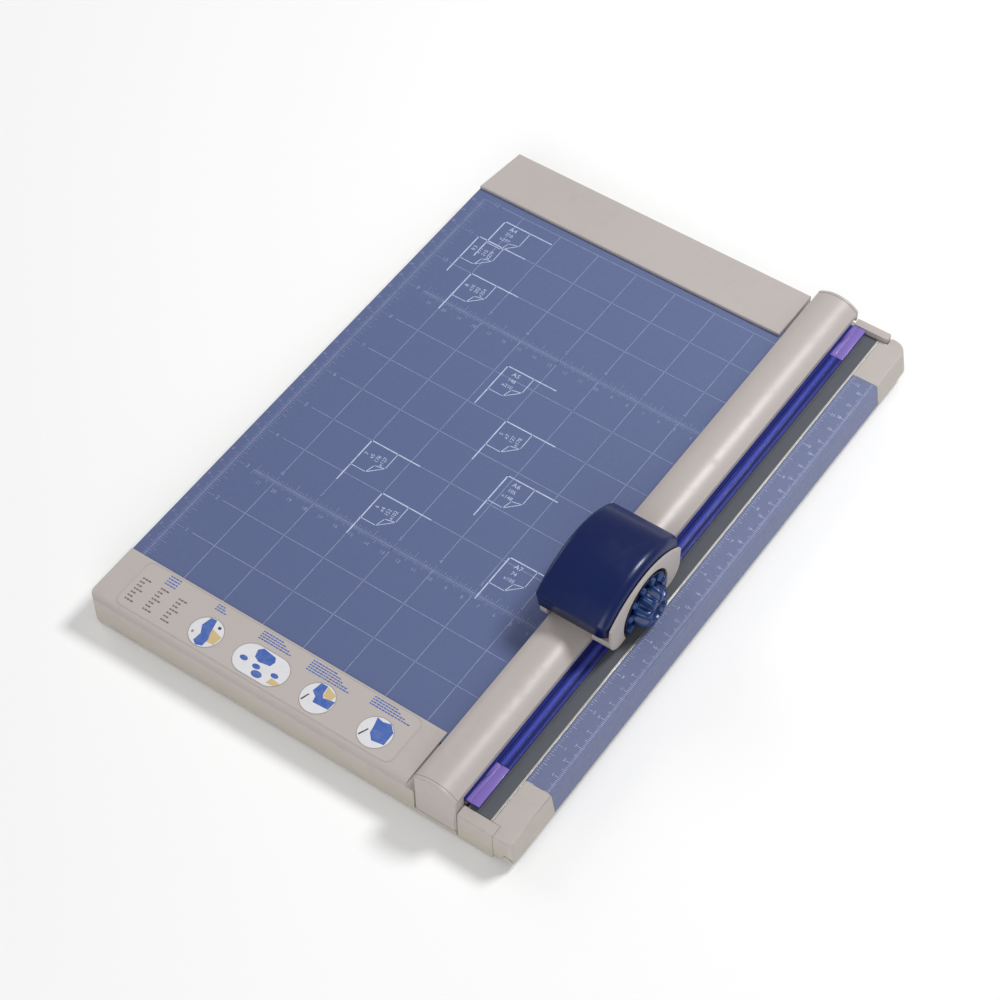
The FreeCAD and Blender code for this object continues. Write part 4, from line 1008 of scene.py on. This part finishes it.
class TRIMMER_OT_knob(TrimmerOperator):
    """Lobed lock knob"""
    bl_idname = "trimmer.knob"
    bl_label = "Lock knob"

    lobes = 8
    around = 128

    def execute(self, context):
        blue = polished("knob_blue", self.colour("teal"), shade(self.colour("teal"), 0.5), 0.26, 0.2)
        length = KNOB[1].x - KNOB[0].x
        radius = (KNOB[1].z - KNOB[0].z) / 2
        # share of the length, share of the radius, depth of the lobes
        rings = ((0, 0.93, 0.1), (0.06, 0.98, 0.2), (0.14, 1.0, 0.26), (0.3, 0.99, 0.3), (0.55, 0.95, 0.31),
                 (0.76, 0.9, 0.3), (0.88, 0.84, 0.27), (0.96, 0.76, 0.22), (1.0, 0.66, 0.15),
                 (1.0, 0.5, 0.08), (0.94, 0.46, 0.03), (0.8, 0.42, 0.0), (0.72, 0.36, 0.0),
                 (0.7, 0.2, 0.0), (0.73, 0.14, 0.0))
        shape = bmesh.new()
        drawn = []
        for along, share, depth in rings:
            ring = []
            for step in range(self.around):
                turn = math.tau * step / self.around
                reach = radius * share * (1 - depth * abs(math.cos(turn * self.lobes / 2)) ** 2.2)
                ring.append(shape.verts.new((KNOB[0].x + length * along, BLADE_Y + reach * math.cos(turn),
                                             BLADE_Z + reach * math.sin(turn))))
            drawn.append(ring)
        for ring, after in zip(drawn, drawn[1:]):
            for index in range(self.around):
                follow = (index + 1) % self.around
                shape.faces.new((ring[index], ring[follow], after[follow], after[index]))
        shape.faces.new(drawn[0])
        shape.faces.new(drawn[-1])
        bmesh.ops.recalc_face_normals(shape, faces=shape.faces)
        stand_in("lock_knob", shape, blue)
        return {"FINISHED"}


class TRIMMER_OT_fixings(TrimmerOperator):
    """Screws, pins, springs and the hinge bracket"""
    bl_idname = "trimmer.fixings"
    bl_label = "Fixings"

    def execute(self, context):
        zinc = metallic("zinc", self.colour("metal"), 0.3)
        soften("rail_hinge_bracket", zinc, self.sizes.fine_round, segments=2)
        for node in ("bottom_screws", "bracket_screws", "rail_hinge_pin", "rail_screws", "cover_screws",
                     "clamp_studs", "return_springs", "blade_axle"):
            coat(node, zinc)
        soften("door_hinge_pins", moulded("pin_beige", self.colour("beige")),
               self.sizes.fine_round)
        coat("clamp_bushes", matt_rubber("bush_rubber", self.colour("rubber")))
        return {"FINISHED"}


class TRIMMER_OT_stage(TrimmerOperator):
    """Camera, pale floor and soft studio light"""
    bl_idname = "trimmer.stage"
    bl_label = "Stage"

    def execute(self, context):
        stage = context.scene.trimmer_stage
        self.place_camera(context, stage)
        self.lay_floor()
        for name, direction, distance, size, power in (
                ("key_light", (0.3, 0.5, 0.81), 1.5, 0.45, stage.key_power),
                ("side_light", (-0.85, 0.1, 0.55), 1.5, 1.0, stage.side_power),
                ("front_light", (0.35, -0.85, 0.5), 1.7, 1.4, stage.front_power)):
            self.hang_light(name, Vector(direction).normalized() * distance, size, power)
        world = bpy.data.worlds.new("white_surround")
        world.use_nodes = True
        world.node_tree.nodes["Background"].inputs["Color"].default_value = (1, 1, 1, 1)
        world.node_tree.nodes["Background"].inputs["Strength"].default_value = stage.sky
        context.scene.world = world
        context.scene.view_settings.view_transform = "Standard"
        return {"FINISHED"}

    @staticmethod
    def place_camera(context, stage):
        data = bpy.data.cameras.new("camera")
        data.lens = stage.lens
        data.sensor_width = 36
        camera = bpy.data.objects.new("camera", data)
        context.scene.collection.objects.link(camera)
        place = Vector(stage.camera_place)
        sight = (Vector(stage.camera_aim) - place).to_track_quat("-Z", "Y").to_matrix().to_4x4()
        roll = Matrix.Rotation(stage.camera_roll, 4, "Z")
        camera.matrix_world = Matrix.Translation(place) @ sight @ roll
        context.scene.camera = camera

    @staticmethod
    def lay_floor():
        shape = bmesh.new()
        bmesh.ops.create_grid(shape, x_segments=1, y_segments=1, size=4)
        floor = bpy.data.objects.new("floor", to_mesh("floor", shape))
        bpy.context.scene.collection.objects.link(floor)
        paper = Finish("pale_floor", specular_ior_level=0.1)
        paper.surface(base_color=(0.97, 0.97, 0.97, 1), roughness=0.9)
        floor.data.materials.append(paper.material)

    @staticmethod
    def hang_light(name, place, size, power):
        data = bpy.data.lights.new(name, "AREA")
        data.shape = "DISK"
        data.size = size
        data.energy = power
        light = bpy.data.objects.new(name, data)
        bpy.context.scene.collection.objects.link(light)
        light.matrix_world = Matrix.Translation(place) @ (-place).to_track_quat("-Z",
                                                                                "Y").to_matrix().to_4x4()


class TRIMMER_PT_panel(bpy.types.Panel):
    """Sizes, colours and build steps of the paper trimmer"""
    bl_idname = "TRIMMER_PT_panel"
    bl_label = "Paper Trimmer"
    bl_space_type = "VIEW_3D"
    bl_region_type = "UI"
    bl_category = "Trimmer"

    def draw(self, context):
        for step in STEPS:
            self.layout.operator(step.bl_idname)
        for title, group in (("Sizes", context.scene.trimmer_sizes),
                             ("Colours", context.scene.trimmer_colours),
                             ("Stage", context.scene.trimmer_stage)):
            column = self.layout.box().column()
            column.label(text=title)
            for name in group.__annotations__:
                column.prop(group, name)


STEPS = (TRIMMER_OT_stage, TRIMMER_OT_base, TRIMMER_OT_deck, TRIMMER_OT_deck_print, TRIMMER_OT_label,
         TRIMMER_OT_rail, TRIMMER_OT_clamp, TRIMMER_OT_mat, TRIMMER_OT_side_door, TRIMMER_OT_cover,
         TRIMMER_OT_cartridge, TRIMMER_OT_knob, TRIMMER_OT_fixings)
CLASSES = (TrimmerSizes, TrimmerColours, TrimmerStage, *STEPS, TRIMMER_PT_panel)


def register():
    for cls in CLASSES:
        bpy.utils.register_class(cls)
    bpy.types.Scene.trimmer_sizes = bpy.props.PointerProperty(type=TrimmerSizes)
    bpy.types.Scene.trimmer_colours = bpy.props.PointerProperty(type=TrimmerColours)
    bpy.types.Scene.trimmer_stage = bpy.props.PointerProperty(type=TrimmerStage)


def unregister():
    del bpy.types.Scene.trimmer_stage
    del bpy.types.Scene.trimmer_colours
    del bpy.types.Scene.trimmer_sizes
    for cls in reversed(CLASSES):
        bpy.utils.unregister_class(cls)


def main():
    register()
    for step in STEPS:
        group, name = step.bl_idname.split(".")
        getattr(getattr(bpy.ops, group), name)()


if __name__ == "__main__":
    main()
